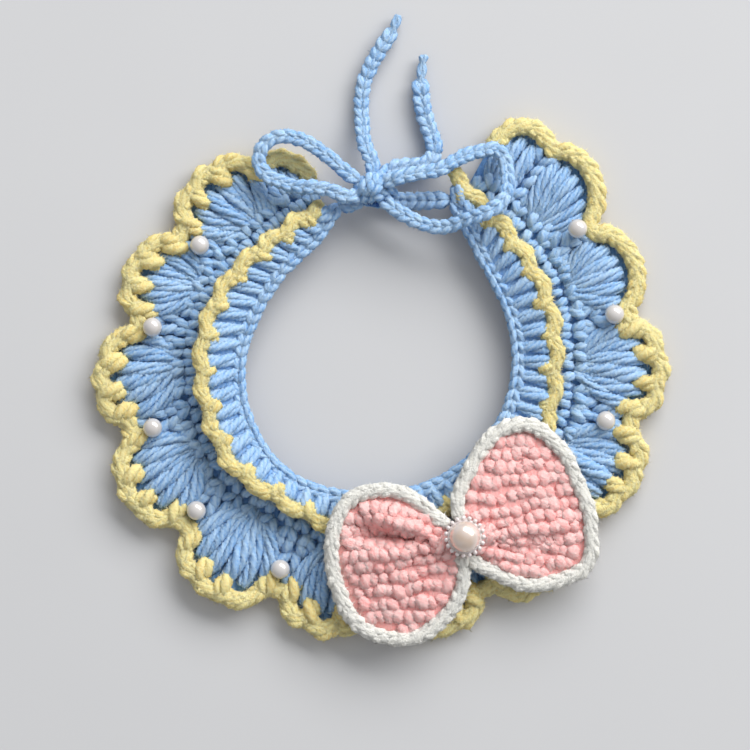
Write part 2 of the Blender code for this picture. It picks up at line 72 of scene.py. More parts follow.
# --- Light and table
# One wide soft window, low at the upper right, and the even light of a pale room.
# The table top is matt white lacquer.
WINDOW_AZIMUTH = 34.0
WINDOW_ELEVATION = 35.0
WINDOW_DISTANCE = 2600.0
WINDOW_SIZE = (3400.0, 1500.0)
WINDOW_POWER = 107.5
ROOM_STRENGTH = 0.50
TABLE_SIZE = 4000.0


def colour(hex_code):
    """Turn an sRGB hex colour into the linear one that a shader takes."""
    channels = [int(hex_code[i : i + 2], 16) / 255 for i in (0, 2, 4)]
    linear = [c / 12.92 if c <= 0.04045 else ((c + 0.055) / 1.055) ** 2.4 for c in channels]
    return (*linear, 1.0)


def finish_of(name, base, roughness, **sockets):
    """Return a new material and its Principled shader, with uniform values on its sockets."""
    made = bpy.data.materials.new(name)
    made.use_nodes = True
    shader = made.node_tree.nodes["Principled BSDF"]
    shader.inputs["Base Color"].default_value = colour(base)
    shader.inputs["Roughness"].default_value = roughness
    for socket, value in sockets.items():
        shader.inputs[socket.replace("_", " ")].default_value = value
    return made, shader


def add_node(material, kind, inputs=None, **settings):
    """Add a node: inputs are values or sockets to link, by name or number."""
    node = material.node_tree.nodes.new(kind)
    for name, value in settings.items():
        setattr(node, name, value)
    for name, value in (inputs or {}).items():
        if isinstance(value, bpy.types.NodeSocket):
            material.node_tree.links.new(value, node.inputs[name])
        else:
            node.inputs[name].default_value = value
    return node


def noise(material, vector, scale, detail=2.0, roughness=0.5):
    """Return soft random patches, the smaller the greater the scale."""
    inputs = {"Vector": vector, "Scale": scale, "Detail": detail, "Roughness": roughness}
    return add_node(material, "ShaderNodeTexNoise", inputs).outputs["Fac"]


def mottle(material, shader, dark, pale, scale, detail=2.0):
    """Let a finish's colour drift between two, in soft patches."""
    place = add_node(material, "ShaderNodeTexCoord").outputs["Object"]
    patches = noise(material, place, scale, detail)
    inputs = {0: patches, 6: colour(dark), 7: colour(pale)}
    tint = add_node(material, "ShaderNodeMix", inputs, data_type="RGBA")
    material.node_tree.links.new(tint.outputs[2], shader.inputs["Base Color"])


turn = math.radians(WINDOW_AZIMUTH)
lean = math.radians(WINDOW_ELEVATION)
window_place = Vector(
    (math.sin(turn) * math.cos(lean), math.cos(turn) * math.cos(lean), math.sin(lean))
)
bpy.ops.object.light_add(type="AREA", location=window_place * WINDOW_DISTANCE * MM)
window = bpy.context.object
window.data.shape = "RECTANGLE"
window.data.size, window.data.size_y = (side * MM for side in WINDOW_SIZE)
window.data.energy = WINDOW_POWER
window.rotation_euler = window_place.to_track_quat("Z", "Y").to_euler()
room = bpy.data.worlds.new("pale_room")
bpy.context.scene.world = room
room.use_nodes = True
room.node_tree.nodes["Background"].inputs["Color"].default_value = colour("F4F6F9")
room.node_tree.nodes["Background"].inputs["Strength"].default_value = ROOM_STRENGTH

# Matt lacquer: pale and nearly even, so shadows lie on it softly and nothing mirrors in it
lacquer, shader = finish_of("matt_white_lacquer", "C6C6C7", 0.65)
mottle(lacquer, shader, "C4C4C5", "C8C8C9", scale=12.0)
bpy.ops.mesh.primitive_plane_add(size=TABLE_SIZE * MM)
table = bpy.context.object
table.name = "table_top"
table.data.materials.append(lacquer)

# --- Tie cords
# Each is a crocheted chain of light blue yarn that runs on from the collar's corner. They are
# tied in a bow: two loops and two tails leave the knot, lie over the collar and on the table.
UP = (0.0, 0.0, 1.0)
TIE_DIAMETER = 4.8
TIE_PITCH = 3.4
TIE_STEP = 1.0
CHAIN_SHARE = 0.92
DRAWN_THICKNESS = 0.45 * TIE_DIAMETER
DRAWN_SWAY = 0.7
YARN_STEP = 1.1
YARN_LAY = (8, 12)
THINNEST = 0.3
PLY_GROOVE = 0.11
TIP_REACH = 0.45
LOWEST = 0.05
# How dark the painted shade on the under sides of the yarn is
UNDER_PAINTED_SHADE = 1.3
BLUE_FLUFF = 0.65
# Yarns: how far they stand off the middle and how thick each is, as shares of the width
BUNDLE = {3: (0.21, 0.61), 5: (0.27, 0.49)}
# How dark the painted shade in the grooves between plies is
GROOVE_PAINTED_SHADE = 0.3
FIBRE_CONTRAST = 0.9
# How far the tone, random tone and painted under-side shade together, moves the colour
TONE_AND_SHADE_CONTRAST = 0.22
DEEP_AT = 0.45
FIBRE_STRETCH = (1.1, 2.6, 0.0)
TANGLE_SCALE = 1500.0
BUMP_HEIGHT = 0.0003
CHAIN_HALF = (
    # pitches along, widths across, widths up
    (0.00, -0.03, -0.12), (0.30, -0.10, 0.15), (0.75, -0.25, 0.23), (1.12, -0.28, 0.05),
    (1.42, -0.12, -0.14), (1.50, 0.0, -0.18),
)
CHAIN_LOOP = CHAIN_HALF + tuple((along, -across, up) for along, across, up in CHAIN_HALF[-2::-1])
CHAIN_BACK = (
    # pitches along, widths across, widths up
    (0.50, -0.27, -0.08), (0.62, -0.16, -0.26), (0.66, 0.0, -0.30), (0.62, 0.16, -0.26),
    (0.50, 0.27, -0.08),
)
LEFT_LOOP = (
    (-6.7, 61.9, 9.9), (-10.2, 64.2, 10.8), (-15.8, 69.0, 10.8), (-20.5, 72.4, 10.4),
    (-25.1, 74.9, 10.4), (-29.8, 75.8, 10.2), (-33.8, 74.9, 10.0), (-36.9, 71.8, 10.0),
    (-37.8, 67.7, 10.0), (-35.7, 64.0, 10.2), (-31.3, 61.8, 10.4), (-26.7, 60.3, 10.8),
    (-20.5, 59.8, 12.2), (-14.8, 58.7, 13.0), (-10.4, 56.8, 12.4), (-6.9, 57.7, 10.8),
)
RIGHT_LOOP = (
    (0.8, 61.0, 11.5), (3.9, 62.3, 13.4), (9.6, 63.8, 13.6), (18.3, 65.6, 12.8),
    (24.5, 69.0, 11.4), (30.7, 71.2, 10.2), (36.0, 71.6, 9.8), (38.4, 68.1, 9.8),
    (39.1, 63.1, 11.4), (37.8, 56.3, 13.8), (33.2, 52.5, 15.4), (27.6, 50.4, 14.4),
    (18.3, 47.6, 12.0), (12.4, 48.8, 11.4), (6.9, 51.6, 11.6), (3.3, 53.9, 11.2),
    (0.5, 56.4, 10.1),
)
LEFT_TAIL = (
    (-2.6, 63.7, 9.4), (-2.7, 67.4, 9.2), (-5.0, 73.3, 6.6), (-5.9, 82.6, 3.2),
    (-5.6, 91.6, 2.6), (-2.8, 98.7, 2.6), (0.6, 104.6, 2.6), (4.0, 109.9, 2.6),
    (5.3, 113.6, 2.6),
)
RIGHT_TAIL = (
    (0.1, 62.6, 6.8), (2.7, 65.2, 5.8), (7.0, 66.6, 5.4), (11.8, 67.0, 4.9),
    (15.2, 68.4, 4.3), (16.6, 71.8, 3.6), (15.5, 76.7, 2.8), (13.0, 85.1, 2.6),
    (12.4, 92.8, 2.6), (12.7, 97.0, 2.6), (13.3, 101.2, 2.6),
)
TIES = (
    # name, route, far end, width, share of its length worked in chain
    ("tie_left_loop", LEFT_LOOP, "object", 4.8, 1.0),
    ("tie_right_loop", RIGHT_LOOP, "object", 4.8, 1.0),
    ("tie_left_tail", LEFT_TAIL, "bare", 4.9, 0.90),
    ("tie_right_tail", RIGHT_TAIL, "bare", 5.6, 0.83),
)
ORIGIN_SHIFT = (0.05, -0.17, 0.0)
dice = np.random.default_rng(7)


def measure(line):
    """Return how far along a line each of its points lies."""
    steps = np.linalg.norm(np.diff(line[:, :3], axis=0), axis=1)
    return np.concatenate([[0.0], np.cumsum(steps)])


def smooth(knots, values, slopes, at):
    """Read values between their knots, along a curve with the slopes given."""
    i = np.clip(np.searchsorted(knots, at, side="right") - 1, 0, len(knots) - 2)
    width = knots[i + 1] - knots[i]
    t = (at - knots[i]) / width
    if values.ndim > 1:
        width, t = width[:, None], t[:, None]
    return (
        (2 * t**3 - 3 * t**2 + 1) * values[i]
        + (t**3 - 2 * t**2 + t) * width * slopes[i]
        + (3 * t**2 - 2 * t**3) * values[i + 1]
        + (t**3 - t**2) * width * slopes[i + 1]
    )


def flow(rows, step):
    """Return rows a step apart on a smooth line. A row is a place and whatever goes with it."""
    rows = np.asarray(rows, float)
    knots = measure(rows)
    at = np.linspace(0.0, knots[-1], max(2, math.ceil(knots[-1] / step) + 1))
    return smooth(knots, rows, np.gradient(rows, knots, axis=0), at)


def route_of(points, step):
    """Return a smooth route through points that were measured from the photo's own origin."""
    return flow(np.array(points) + ORIGIN_SHIFT, step)


def unit(vectors):
    """Return vectors at length one."""
    return vectors / np.maximum(np.linalg.norm(vectors, axis=-1, keepdims=True), 1e-9)


def directions(line, up):
    """Return the ways ahead, across and above at each point of a line."""
    ahead = unit(np.gradient(line[:, :3], axis=0))
    across = unit(np.cross(ahead, np.broadcast_to(up, ahead.shape)))
    return ahead, across, np.cross(across, ahead)


def strand(knots, thickness, up=UP, flatness=1.0, plies=4, lay=13.0):
    """Return a length of yarn: rows of place, thickness, flatness and facing, then its plies.

    The lay is the length in which the plies go round once.
    """
    knots = np.asarray(knots, float)
    sizes = [np.broadcast_to(value, len(knots)) for value in (thickness, flatness)]
    rows = np.column_stack([knots, *sizes, np.broadcast_to(up, knots.shape)])
    return flow(rows, YARN_STEP), plies, lay


def bundle(knots, width, count=3, plies=4, lay=24.0, flatness=0.85):
    """Return the yarns of one tall stitch, which lie loosely wound round each other."""
    rows = flow(np.column_stack([knots, np.broadcast_to(width, len(knots))]), YARN_STEP)
    along, size = measure(rows), rows[:, 3]
    _, across, above = directions(rows, UP)
    stand_off, thickness = BUNDLE[count]
    phase = dice.random()
    yarns = []
    for number in range(count):
        turn = 2 * math.pi * (number / count + along / lay + phase)
        reach = size * stand_off * dice.normal(1.0, 0.12)
        aside = across * (np.cos(turn) * reach)[:, None]
        lift = above * (np.sin(turn) * reach * flatness)[:, None]
        own_size = size * dice.normal(thickness, 0.03)
        path = rows[:, :3] + aside + lift
        yarns.append(strand(path, own_size, plies=plies, lay=dice.uniform(*YARN_LAY)))
    return yarns


slots = {}
loose_fibres = {}


def add_piece(name, points, faces, shade, uvs=None, tones_and_shade=None):
    """Set a mesh into the scene with its finish, on the one body."""
    data = bpy.data.meshes.new(name)
    data.from_pydata((points * MM).tolist(), [], faces)
    if uvs is not None:
        data.uv_layers.new(name="yarn").data.foreach_set("uv", uvs.ravel())
        data.attributes.new("tone_and_shade", "FLOAT", "POINT").data.foreach_set("value", tones_and_shade)
    data.shade_smooth()
    data.materials.append(shade)
    piece = bpy.data.objects.new(name, data)
    bpy.context.scene.collection.objects.link(piece)
    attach(piece, "root")
    return piece


def spin(name, strands, shade, fluff=0.0, under=UNDER_PAINTED_SHADE):
    """Join lengths of yarn into one mesh, ridged by their plies, with UVs along and round it.

    The fluff is the number of loose fibres on a square millimetre. The under sides get painted
    shade, and where yarn meets the table it lies flat on it.
    """
    places, quads, fans, quad_uvs, fan_uvs, tones_and_shade = [], [], [], [], [], []
    first = 0
    for rows, plies, lay in strands:
        centre = rows[:, :3]
        half = np.maximum(rows[:, 3:4], THINNEST) / 2
        rings, sides = len(rows), 2 * plies
        along = measure(centre)
        ahead, across, above = directions(centre, rows[:, 5:8])
        k = np.arange(sides)
        turns = 2 * math.pi * (k / sides + along[:, None] / lay + dice.random())
        ridge = half * np.where(k % 2, 1.0, 1.0 - PLY_GROOVE)
        wide, high = np.cos(turns) * ridge, np.sin(turns) * ridge * rows[:, 4:5]
        ring = centre[:, None] + across[:, None] * wide[..., None]
        ring += above[:, None] * high[..., None]
        tips = centre[[0, -1]] + ahead[[0, -1]] * half[[0, -1]] * TIP_REACH * [[-1], [1]]
        places += [ring.reshape(-1, 3), tips]
        after = (k + 1) % sides
        tip, end = first + rings * sides, first + (rings - 1) * sides
        fans.append(np.column_stack([np.full(sides, tip), first + k, first + after]))
        fans.append(np.column_stack([np.full(sides, tip + 1), end + after, end + k]))
        for tip_along, order in ((along[0], (0.5, 0, 1)), (along[-1], (0.5, 1, 0))):
            v = np.column_stack([k + shift for shift in order]) / 2
            fan_uvs.append(np.stack([np.full_like(v, tip_along), v], axis=-1).reshape(-1, 2))
        i, k = np.indices((rings - 1, sides)).reshape(2, -1)
        after = (k + 1) % sides
        near, far = first + i * sides, first + (i + 1) * sides
        quads.append(np.column_stack([near + k, far + k, far + after, near + after]))
        u, v = along[[i, i + 1, i + 1, i]], np.array([k, k, k + 1, k + 1]) / 2
        quad_uvs.append(np.stack([u.T, v.T], axis=-1).reshape(-1, 2))
        # Painted shade: the tone darkens the more a point faces down, on top of its strand's random
        # tone
        facing_up = np.concatenate([np.sin(turns.ravel()) - 1.0, [-1.0, -1.0]])
        tones_and_shade.append(dice.random() + under * facing_up)
        if fluff:
            area = 2 * math.pi * float(half.mean()) * along[-1]
            picks = dice.integers(0, rings * sides, dice.poisson(area * fluff))
            outward = unit(ring - centre[:, None]).reshape(-1, 3)
            picks = picks[outward[picks, 2] > -0.1]
            rooted = [ring.reshape(-1, 3)[picks], outward[picks], ahead[picks // sides]]
            loose_fibres.setdefault(shade.name, []).append(np.stack(rooted))
        first = tip + 2
    places = np.concatenate(places)
    places[:, 2] = np.maximum(places[:, 2], LOWEST)
    faces = np.concatenate(quads).tolist() + np.concatenate(fans).tolist()
    uvs = np.concatenate(quad_uvs + fan_uvs)
    return add_piece(name, places, faces, shade, uvs, np.concatenate(tones_and_shade))


def spin_for(solid, *yarns):
    """Spin the yarn that is seen in place of a solid."""
    piece = spin(solid + "_yarn", *yarns)
    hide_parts(solid)
    return piece


def chain(line, pitch, width, plump=0.54, unevenness=0.1, fill=0.5):
    """Return the yarn of a row of chain stitches: every loop comes up through the one before.

    The yarn is a plump share of the chain's width thick. The fill is the share of the width
    that the fuzz closes between the loops.
    """
    along = measure(line)
    _, across, above = directions(line, UP)
    count = max(2, round(along[-1] / pitch))
    pitch = along[-1] / (count - 1 + CHAIN_HALF[-1][0])

    def wind(table, start):
        table = np.array(table)
        at = start + table[:, 0] * pitch
        shake = 1 + dice.normal(0, unevenness, (len(table), 2))
        x, z = (table[:, 1:] * width * shake).T

        def put(field):
            return np.column_stack([np.interp(at, along, column) for column in field.T])

        knots = put(line) + put(across) * x[:, None] + put(above) * z[:, None]
        return strand(knots, width * plump, put(above), 0.9)

    strands = []
    for stitch in range(count):
        shift = dice.normal(0, unevenness * 0.6) * (0 < stitch < count - 1)
        strands += [wind(table, (stitch + shift) * pitch) for table in (CHAIN_LOOP, CHAIN_BACK)]
    strands.append(strand(line[::3], width * fill, above[::3], plies=8, lay=40.0))
    return strands


def yarn(name, slot, lit, deep, shadow, fuzz=0.4, softness=0.3, scatter=(1, 1, 1)):
    """Return soft yarn: painted shade between plies and on under sides, fine matt fibres on it.

    The fuzz is how much the loose fibres blur the plies.
    """
    made, shader = finish_of(
        name, lit, 0.9, Specular_IOR_Level=0.15, Sheen_Weight=0.15, Sheen_Roughness=0.5,
        Sheen_Tint=colour(lit), Subsurface_Weight=softness, Subsurface_Radius=scatter,
        Subsurface_Scale=0.0007,
    )
    slots[name] = slot

    def maths(operation, first, second=0.0):
        inputs = {0: first, 1: second}
        return add_node(made, "ShaderNodeMath", inputs, operation=operation).outputs[0]

    def swing(value, share):
        return maths("MULTIPLY", maths("SUBTRACT", value, 0.5), share)

    uv = add_node(made, "ShaderNodeUVMap", uv_map="yarn").outputs["UV"]
    round_it = add_node(made, "ShaderNodeSeparateXYZ", {0: uv}).outputs["Y"]
    ply = maths("ABSOLUTE", swing(maths("FRACT", round_it), 2.0))
    groove = maths("POWER", ply, 2.0)
    # Fibres: tufts some 0.4 mm wide and 1 mm long, drawn coarser than the real 0.02 mm ones
    inputs = {0: uv, 1: FIBRE_STRETCH}
    stretched = add_node(made, "ShaderNodeVectorMath", inputs, operation="MULTIPLY")
    fibre = noise(made, stretched.outputs[0], 1.0, 4.0, 0.7)
    # Fuzz: loose fibres lie over the yarn in tangled tufts some 0.5 mm across
    place = add_node(made, "ShaderNodeTexCoord").outputs["Object"]
    tangle = swing(noise(made, place, TANGLE_SCALE, 3.0, 0.65), fuzz)
    tone_and_shade = add_node(made, "ShaderNodeAttribute", attribute_name="tone_and_shade").outputs["Fac"]
    # Painted shade: the grooves between plies and the darker tone of under sides pull the colour
    # toward the shadow stop
    light = maths("SUBTRACT", 0.94 + 0.08 * fuzz, maths("MULTIPLY", groove, GROOVE_PAINTED_SHADE))
    for part in (tangle, swing(fibre, FIBRE_CONTRAST), swing(tone_and_shade, TONE_AND_SHADE_CONTRAST)):
        light = maths("ADD", light, part)
    ramp = add_node(made, "ShaderNodeValToRGB", {0: light})
    stops = ramp.color_ramp.elements
    stops[0].color, stops[1].color = colour(shadow), colour(lit)
    stops.new(DEEP_AT).color = colour(deep)
    made.node_tree.links.new(ramp.outputs[0], shader.inputs["Base Color"])
    relief = maths("SUBTRACT", fibre, maths("MULTIPLY", groove, 0.5))
    relief = maths("ADD", relief, maths("MULTIPLY", tangle, 3.0))
    inputs = {"Height": relief, "Strength": 0.9, "Distance": BUMP_HEIGHT}
    bump = add_node(made, "ShaderNodeBump", inputs)
    made.node_tree.links.new(bump.outputs[0], shader.inputs["Normal"])
    return made


# Light blue acrylic: soft and matt, pale on its plies, with a deep clear blue painted shade
# between them and on its under sides
blue_yarn = yarn("light_blue_acrylic_yarn", "blue_yarn", "B1CDE8", "79A8DB", "14428C")


def tie(name, points, far_end, width, worked):
    """Make one free stretch of tie cord. Past its worked share it thins to its drawn-out end."""
    route = route_of(points, TIE_STEP)
    split = math.ceil(len(route) * worked)
    strands = chain(route[:split], TIE_PITCH, width * CHAIN_SHARE, plump=0.58, fill=0.75)
    if split < len(route):
        drawn = route[split - 4 :: 3]
        if not np.allclose(drawn[-1], route[-1]):
            drawn = np.vstack([drawn, route[-1]])
        for side in (-1, 0, 1):
            sway = side * DRAWN_SWAY * np.sin(0.6 + np.arange(len(drawn)) * 1.9)
            aside = np.column_stack([sway, np.zeros(len(sway)), abs(sway) * 0.3])
            strands.append(strand(drawn + aside, DRAWN_THICKNESS))
    piece = spin_for(name, strands, blue_yarn, BLUE_FLUFF)


for row in TIES:
    tie(*row)

# --- Knot and neck cords
# The same chain, drawn tight: one turn of it wraps the crossing, and the two short stretches
# run under the loops from the collar's corners to the knot.
KNOT_STEP = 0.8
KNOT_PITCH = 3.2
KNOT_WIDTH = 4.8
NECK_CORD_WIDTH = 5.2
KNOT_PLUMP = 0.6
# How dark the painted shade on the knot's under sides is
KNOT_PAINTED_SHADE = 2.2
KNOT_TURNS = (
    (
        (-6.2, 56.6, 6.0), (-6.3, 57.2, 9.4), (-5.4, 58.6, 12.0), (-3.9, 60.8, 12.4),
        (-2.4, 62.6, 10.6), (-2.0, 63.0, 7.0),
    ),
    (
        (-3.8, 57.4, 6.0), (-3.7, 57.6, 9.8), (-3.0, 58.4, 12.6), (-1.7, 60.6, 12.9),
        (-0.6, 62.3, 10.9), (-0.4, 62.6, 7.4),
    ),
    (
        (2.6, 58.0, 6.0), (2.2, 58.6, 9.2), (1.2, 60.0, 11.0), (0.2, 61.6, 11.4),
        (-0.4, 63.2, 9.8), (-0.6, 63.8, 7.0),
    ),
    (
        (0.5, 57.6, 6.0), (0.3, 57.8, 9.2), (-1.2, 58.3, 11.2), (-3.4, 59.2, 11.6),
        (-5.6, 60.5, 10.2), (-6.2, 61.0, 7.4),
    ),
)
KNOT_SHADE = ((-5.0, 56.4, 7.2), (-1.6, 55.6, 7.0), (2.2, 55.8, 7.0))
LEFT_NECK_CORD = ((-12.4, 54.4, 6.5), (-9.4, 55.3, 5.9), (-6.2, 56.8, 6.6))
RIGHT_NECK_CORD = (
    (20.8, 56.3, 6.6), (17.5, 56.2, 6.0), (11.5, 56.0, 4.6), (5.0, 56.2, 4.4), (1.1, 57.7, 6.1),
)

knot = []
for points in KNOT_TURNS:
    knot += chain(route_of(points, KNOT_STEP), KNOT_PITCH, KNOT_WIDTH, KNOT_PLUMP)
# A strand under the knot lies face down, so its painted under-side shade shows on its top
# as the shade under the knot
knot.append(strand(np.array(KNOT_SHADE) + ORIGIN_SHIFT, 4.0, up=(0.0, 0.0, -1.0)))
spin_for("tie_knot", knot, blue_yarn, BLUE_FLUFF, KNOT_PAINTED_SHADE)
for name, points in (("tie_left_neck", LEFT_NECK_CORD), ("tie_right_neck", RIGHT_NECK_CORD)):
    stitches = chain(route_of(points, KNOT_STEP), TIE_PITCH, NECK_CORD_WIDTH, KNOT_PLUMP)
    spin_for(name, stitches, blue_yarn, BLUE_FLUFF)

# --- Wide lower layer
# Three rows of forked stitches in light blue, then a scalloped row of shells: in each, six plump
# puffs spread from one point. A thin web of the same yarn joins them, darkened as painted
# shade so the gaps between stitches look shadowed.
NECK_CENTRE = (-0.25, 11.13)
NECKLINE = (
    # azimuth, radius
    (26.5, 48.6), (33.0, 45.3), (40.0, 42.8), (50.0, 40.3), (66.0, 39.6), (95.0, 41.5),
    (119.0, 43.1), (167.0, 45.3), (191.0, 46.5), (215.0, 48.1), (239.0, 45.9), (262.0, 42.5),
    (287.0, 38.1), (313.0, 36.3), (330.0, 37.2), (343.0, 43.1),
)
UPPER_EDGE = (
    # azimuth, radius, rise
    (23.0, 58.0, 1.0), (27.0, 56.3, 1.0), (32.0, 54.2, 1.0), (43.0, 52.9, 1.5),
    (60.0, 52.9, 2.0), (80.0, 54.0, 1.8), (95.0, 54.6, 1.5), (119.0, 57.5, 0.2),
    (143.0, 57.4, 0.0), (160.0, 55.4, 0.0), (191.0, 57.8, 0.3), (213.0, 57.0, 4.0),
    (230.0, 58.8, 5.0), (250.0, 57.0, 5.0), (272.0, 54.8, 4.5), (290.0, 51.6, 3.5),
    (313.0, 46.8, 2.5), (330.0, 46.0, 2.0), (337.0, 47.0, 2.0),
)
SCALLOPS = (
    # start, valley radius, tip radius, lift
    (41.0, 84.3, 87.3, 0.0), (60.8, 77.8, 86.0, 0.0), (82.5, 80.0, 90.0, 0.0),
    (107.0, 84.0, 91.6, 0.0), (131.0, 82.5, 92.4, 0.0), (156.5, 85.0, 93.0, 0.0),
    (180.0, 83.5, 92.4, 1.0), (203.0, 85.0, 95.4, 2.4), (227.5, 85.2, 93.4, 1.6),
    (251.0, 84.2, 89.8, 0.8), (275.5, 78.0, 83.0, 0.0), (299.0, 73.3, 78.6, 0.0),
)
LAST_VALLEY = (327.0, 70.0)
RIGHT_END_EDGE = ((29.3, 71.0), (30.6, 77.0), (33.2, 81.2), (36.4, 82.8), (39.4, 81.9))
LEFT_END_EDGE = ((328.6, 66.8), (331.6, 66.2), (334.4, 63.2), (336.4, 59.4), (337.8, 55.6))
SCALLOP_SHARES = (0.045, 0.16, 0.32, 0.5, 0.68, 0.84, 0.955)
EDGING_RADIUS = 2.9
LOWER_WALL = 3.0
NECK_ALLOWANCE = 3.55
POST_COUNT = 54
LOWER_SPAN = (28.9, 338.0)
VALLEYS = [row[:2] for row in SCALLOPS] + [LAST_VALLEY]
# Start, its valley's radius, end, its valley's radius, tip radius, lift
SPANS = [(*a, *b, *row[2:]) for a, b, row in zip(VALLEYS, VALLEYS[1:], SCALLOPS)]
WEB_GRID = (220, 18)
WEB_DEPTH = 1.6
# The webs are darkened toward the shadow colour: painted shade in the gaps between stitches
WEB_PAINTED_SHADE = -2.2
EDGE_MARGIN = 1.5
FORK_STATIONS = np.array((
    # shares of the way out, of the spread, of the rise and of the thickness
    (0.0, 0.25, -0.6, 0.8), (0.3, 0.55, 0.9, 1.0), (0.65, 0.95, 1.0, 1.05), (1.0, 1.0, -0.6, 0.85),
))
FORK_DEPTH = 1.1
FORK_PLIES = 5
FORK_ROWS = (
    # start and end past the fold, shift back and spread in stitches, thickness, rise
    (-7.0, 1.4, 0.0, 0.25, 3.4, 0.4), (1.8, 5.6, 0.0, 0.27, 3.3, 1.3),
    (6.2, 10.0, 0.5, 0.27, 3.3, 1.5),
)
VALLEY_START = 8.0
VALLEY_TIER = 4.6
VALLEY_FORK = (2.0, 3.6, 1.2)  # spread, thickness, rise
BESIDE_VALLEY = (4.4, 5.0)  # degrees aside, length
BESIDE_FORK = (1.1, 3.2, 1.0)  # spread, thickness, rise
PUFF_STATIONS = np.array((
    # share of the way out, height, share of the width
    (0.0, 1.9, 0.56), (0.2, 2.9, 0.8), (0.5, 3.4, 0.98), (0.8, 3.3, 0.96), (1.0, 2.3, 0.7),
))
SHELL = (6, 0.24)  # puffs, gap between their roots as a share of the gap between their tips
END_SHELL = (3, 0.8)
SHELL_START = 7.0
SHELL_END = 4.6
SHELL_GAP = 3.2
PUFF_BEND = 4.5
PUFF_WIDEST = 6.2


def read_table(table, at, column=1):
    """Read a table's column between its rows along a smooth curve."""
    rows = np.array(table, float)
    knots, values = rows[:, 0], rows[:, column]
    slopes = np.empty(len(rows))
    slopes[1:-1] = (values[2:] - values[:-2]) / (knots[2:] - knots[:-2])
    slopes[[0, -1]] = (values[[1, -1]] - values[[0, -2]]) / (knots[[1, -1]] - knots[[0, -2]])
    return smooth(knots, values, slopes, np.clip(at, knots[0], knots[-1]))


def polar(azimuth, radius, height=0.0):
    """Return the point at an azimuth and radius about the neck's centre."""
    turn = np.radians(azimuth)
    x = NECK_CENTRE[0] + radius * np.sin(turn)
    y = NECK_CENTRE[1] + radius * np.cos(turn)
    return np.stack(np.broadcast_arrays(x, y, height), axis=-1)


def in_scallop(azimuth):
    """Return how far through its scallop an azimuth lies, and the scallop's start and lift."""
    for start, _, end, _, _, lift in SPANS:
        if start <= azimuth <= end:
            return (azimuth - start) / (end - start), start, lift
    return 0.0, 0.0, 0.0


def scallop_lift(azimuth):
    """Return how far the edge curls up from the table at an azimuth."""
    share, _, lift = in_scallop(azimuth)
    return lift * math.sin(math.pi * share)


# Azimuth and radius of the middle of the outer edging, all the way round
edge_outline = list(RIGHT_END_EDGE)
for start, valley, end, next_valley, tip, _ in SPANS:
    for share in SCALLOP_SHARES:
        line = valley + (next_valley - valley) * share
        width = (share - SCALLOP_SHARES[0]) / (1 - 2 * SCALLOP_SHARES[0])
        bulge = max(math.sin(math.pi * width), 0.0) ** 0.6
        radius = line + (tip - (valley + next_valley) / 2) * bulge - EDGING_RADIUS
        edge_outline.append((start + (end - start) * share, radius))
edge_outline += LEFT_END_EDGE


def edge_radius(azimuth):
    """Return the radius of the outer edging's middle."""
    return read_table(edge_outline, azimuth)


def fold_radius(azimuth):
    """Return the radius of the upper layer's outer edge."""
    return read_table(UPPER_EDGE, azimuth)


def lower_top(azimuth, radius):
    """Return the height of the lower layer's upper side: it falls from the neck, then lies flat."""
    neck = read_table(NECKLINE, azimuth) + NECK_ALLOWANCE
    share = np.clip((radius - neck) / (fold_radius(azimuth) - neck), 0.0, 1.0)
    return LOWER_WALL * (2 - share)


def sheet_of(name, grid, thickness, shade, tone_and_shade=WEB_PAINTED_SHADE):
    """Make a thin cloth web through a grid of points, given along and across, in painted shade."""
    points = grid.reshape(-1, 3)
    at = np.arange(len(points)).reshape(grid.shape[:2])
    faces = np.stack([at[:-1, :-1], at[:-1, 1:], at[1:, 1:], at[1:, :-1]], axis=-1).reshape(-1, 4)
    along = points[faces.ravel(), 0]
    uvs = np.column_stack([along, np.full(len(along), 0.5)])
    tones_and_shade = np.full(len(points), tone_and_shade)
    piece = add_piece(name, points, faces.tolist(), shade, uvs, tones_and_shade)
    bpy.context.view_layer.objects.active = piece
    wall = piece.modifiers.new("wall", "SOLIDIFY")
    wall.thickness, wall.offset = thickness * MM, 0.0
    with bpy.context.temp_override(object=piece):
        bpy.ops.object.modifier_apply(modifier=wall.name)
    piece.data.shade_smooth()
    return piece


def fork(azimuth, inner, outer, spread, thickness, rise):
    """Return the two legs of a stitch: they leave one point and part on their way outward."""
    out, apart, raised, thick = FORK_STATIONS.T
    legs = []
    for side in (-1, 1):
        turns = azimuth + side * spread * apart + dice.normal(0, 0.3, 4) + dice.normal(0, 0.3)
        radii = inner + (outer - inner) * out + dice.normal(0, 0.35)
        heights = lower_top(azimuth, radii) - FORK_DEPTH + rise * raised + dice.normal(0, 0.25)
        size = thickness * dice.normal(1, 0.07) * thick
        legs.append(strand(polar(turns, radii, heights), size, plies=FORK_PLIES))
    return legs


grid = []
for azimuth in np.linspace(*LOWER_SPAN, WEB_GRID[0]):
    fold, start = fold_radius(azimuth), read_table(NECKLINE, azimuth) + NECK_ALLOWANCE
    radii = np.linspace(start, edge_radius(azimuth) - EDGE_MARGIN, WEB_GRID[1])
    share = np.clip((radii - fold) / (radii[-1] - fold), 0, 1)
    heights = lower_top(azimuth, radii) - WEB_DEPTH + scallop_lift(azimuth) * share
    grid.append(polar(azimuth, radii, heights))
lower_web = sheet_of("lower_layer_web", np.array(grid), 0.8, blue_yarn)

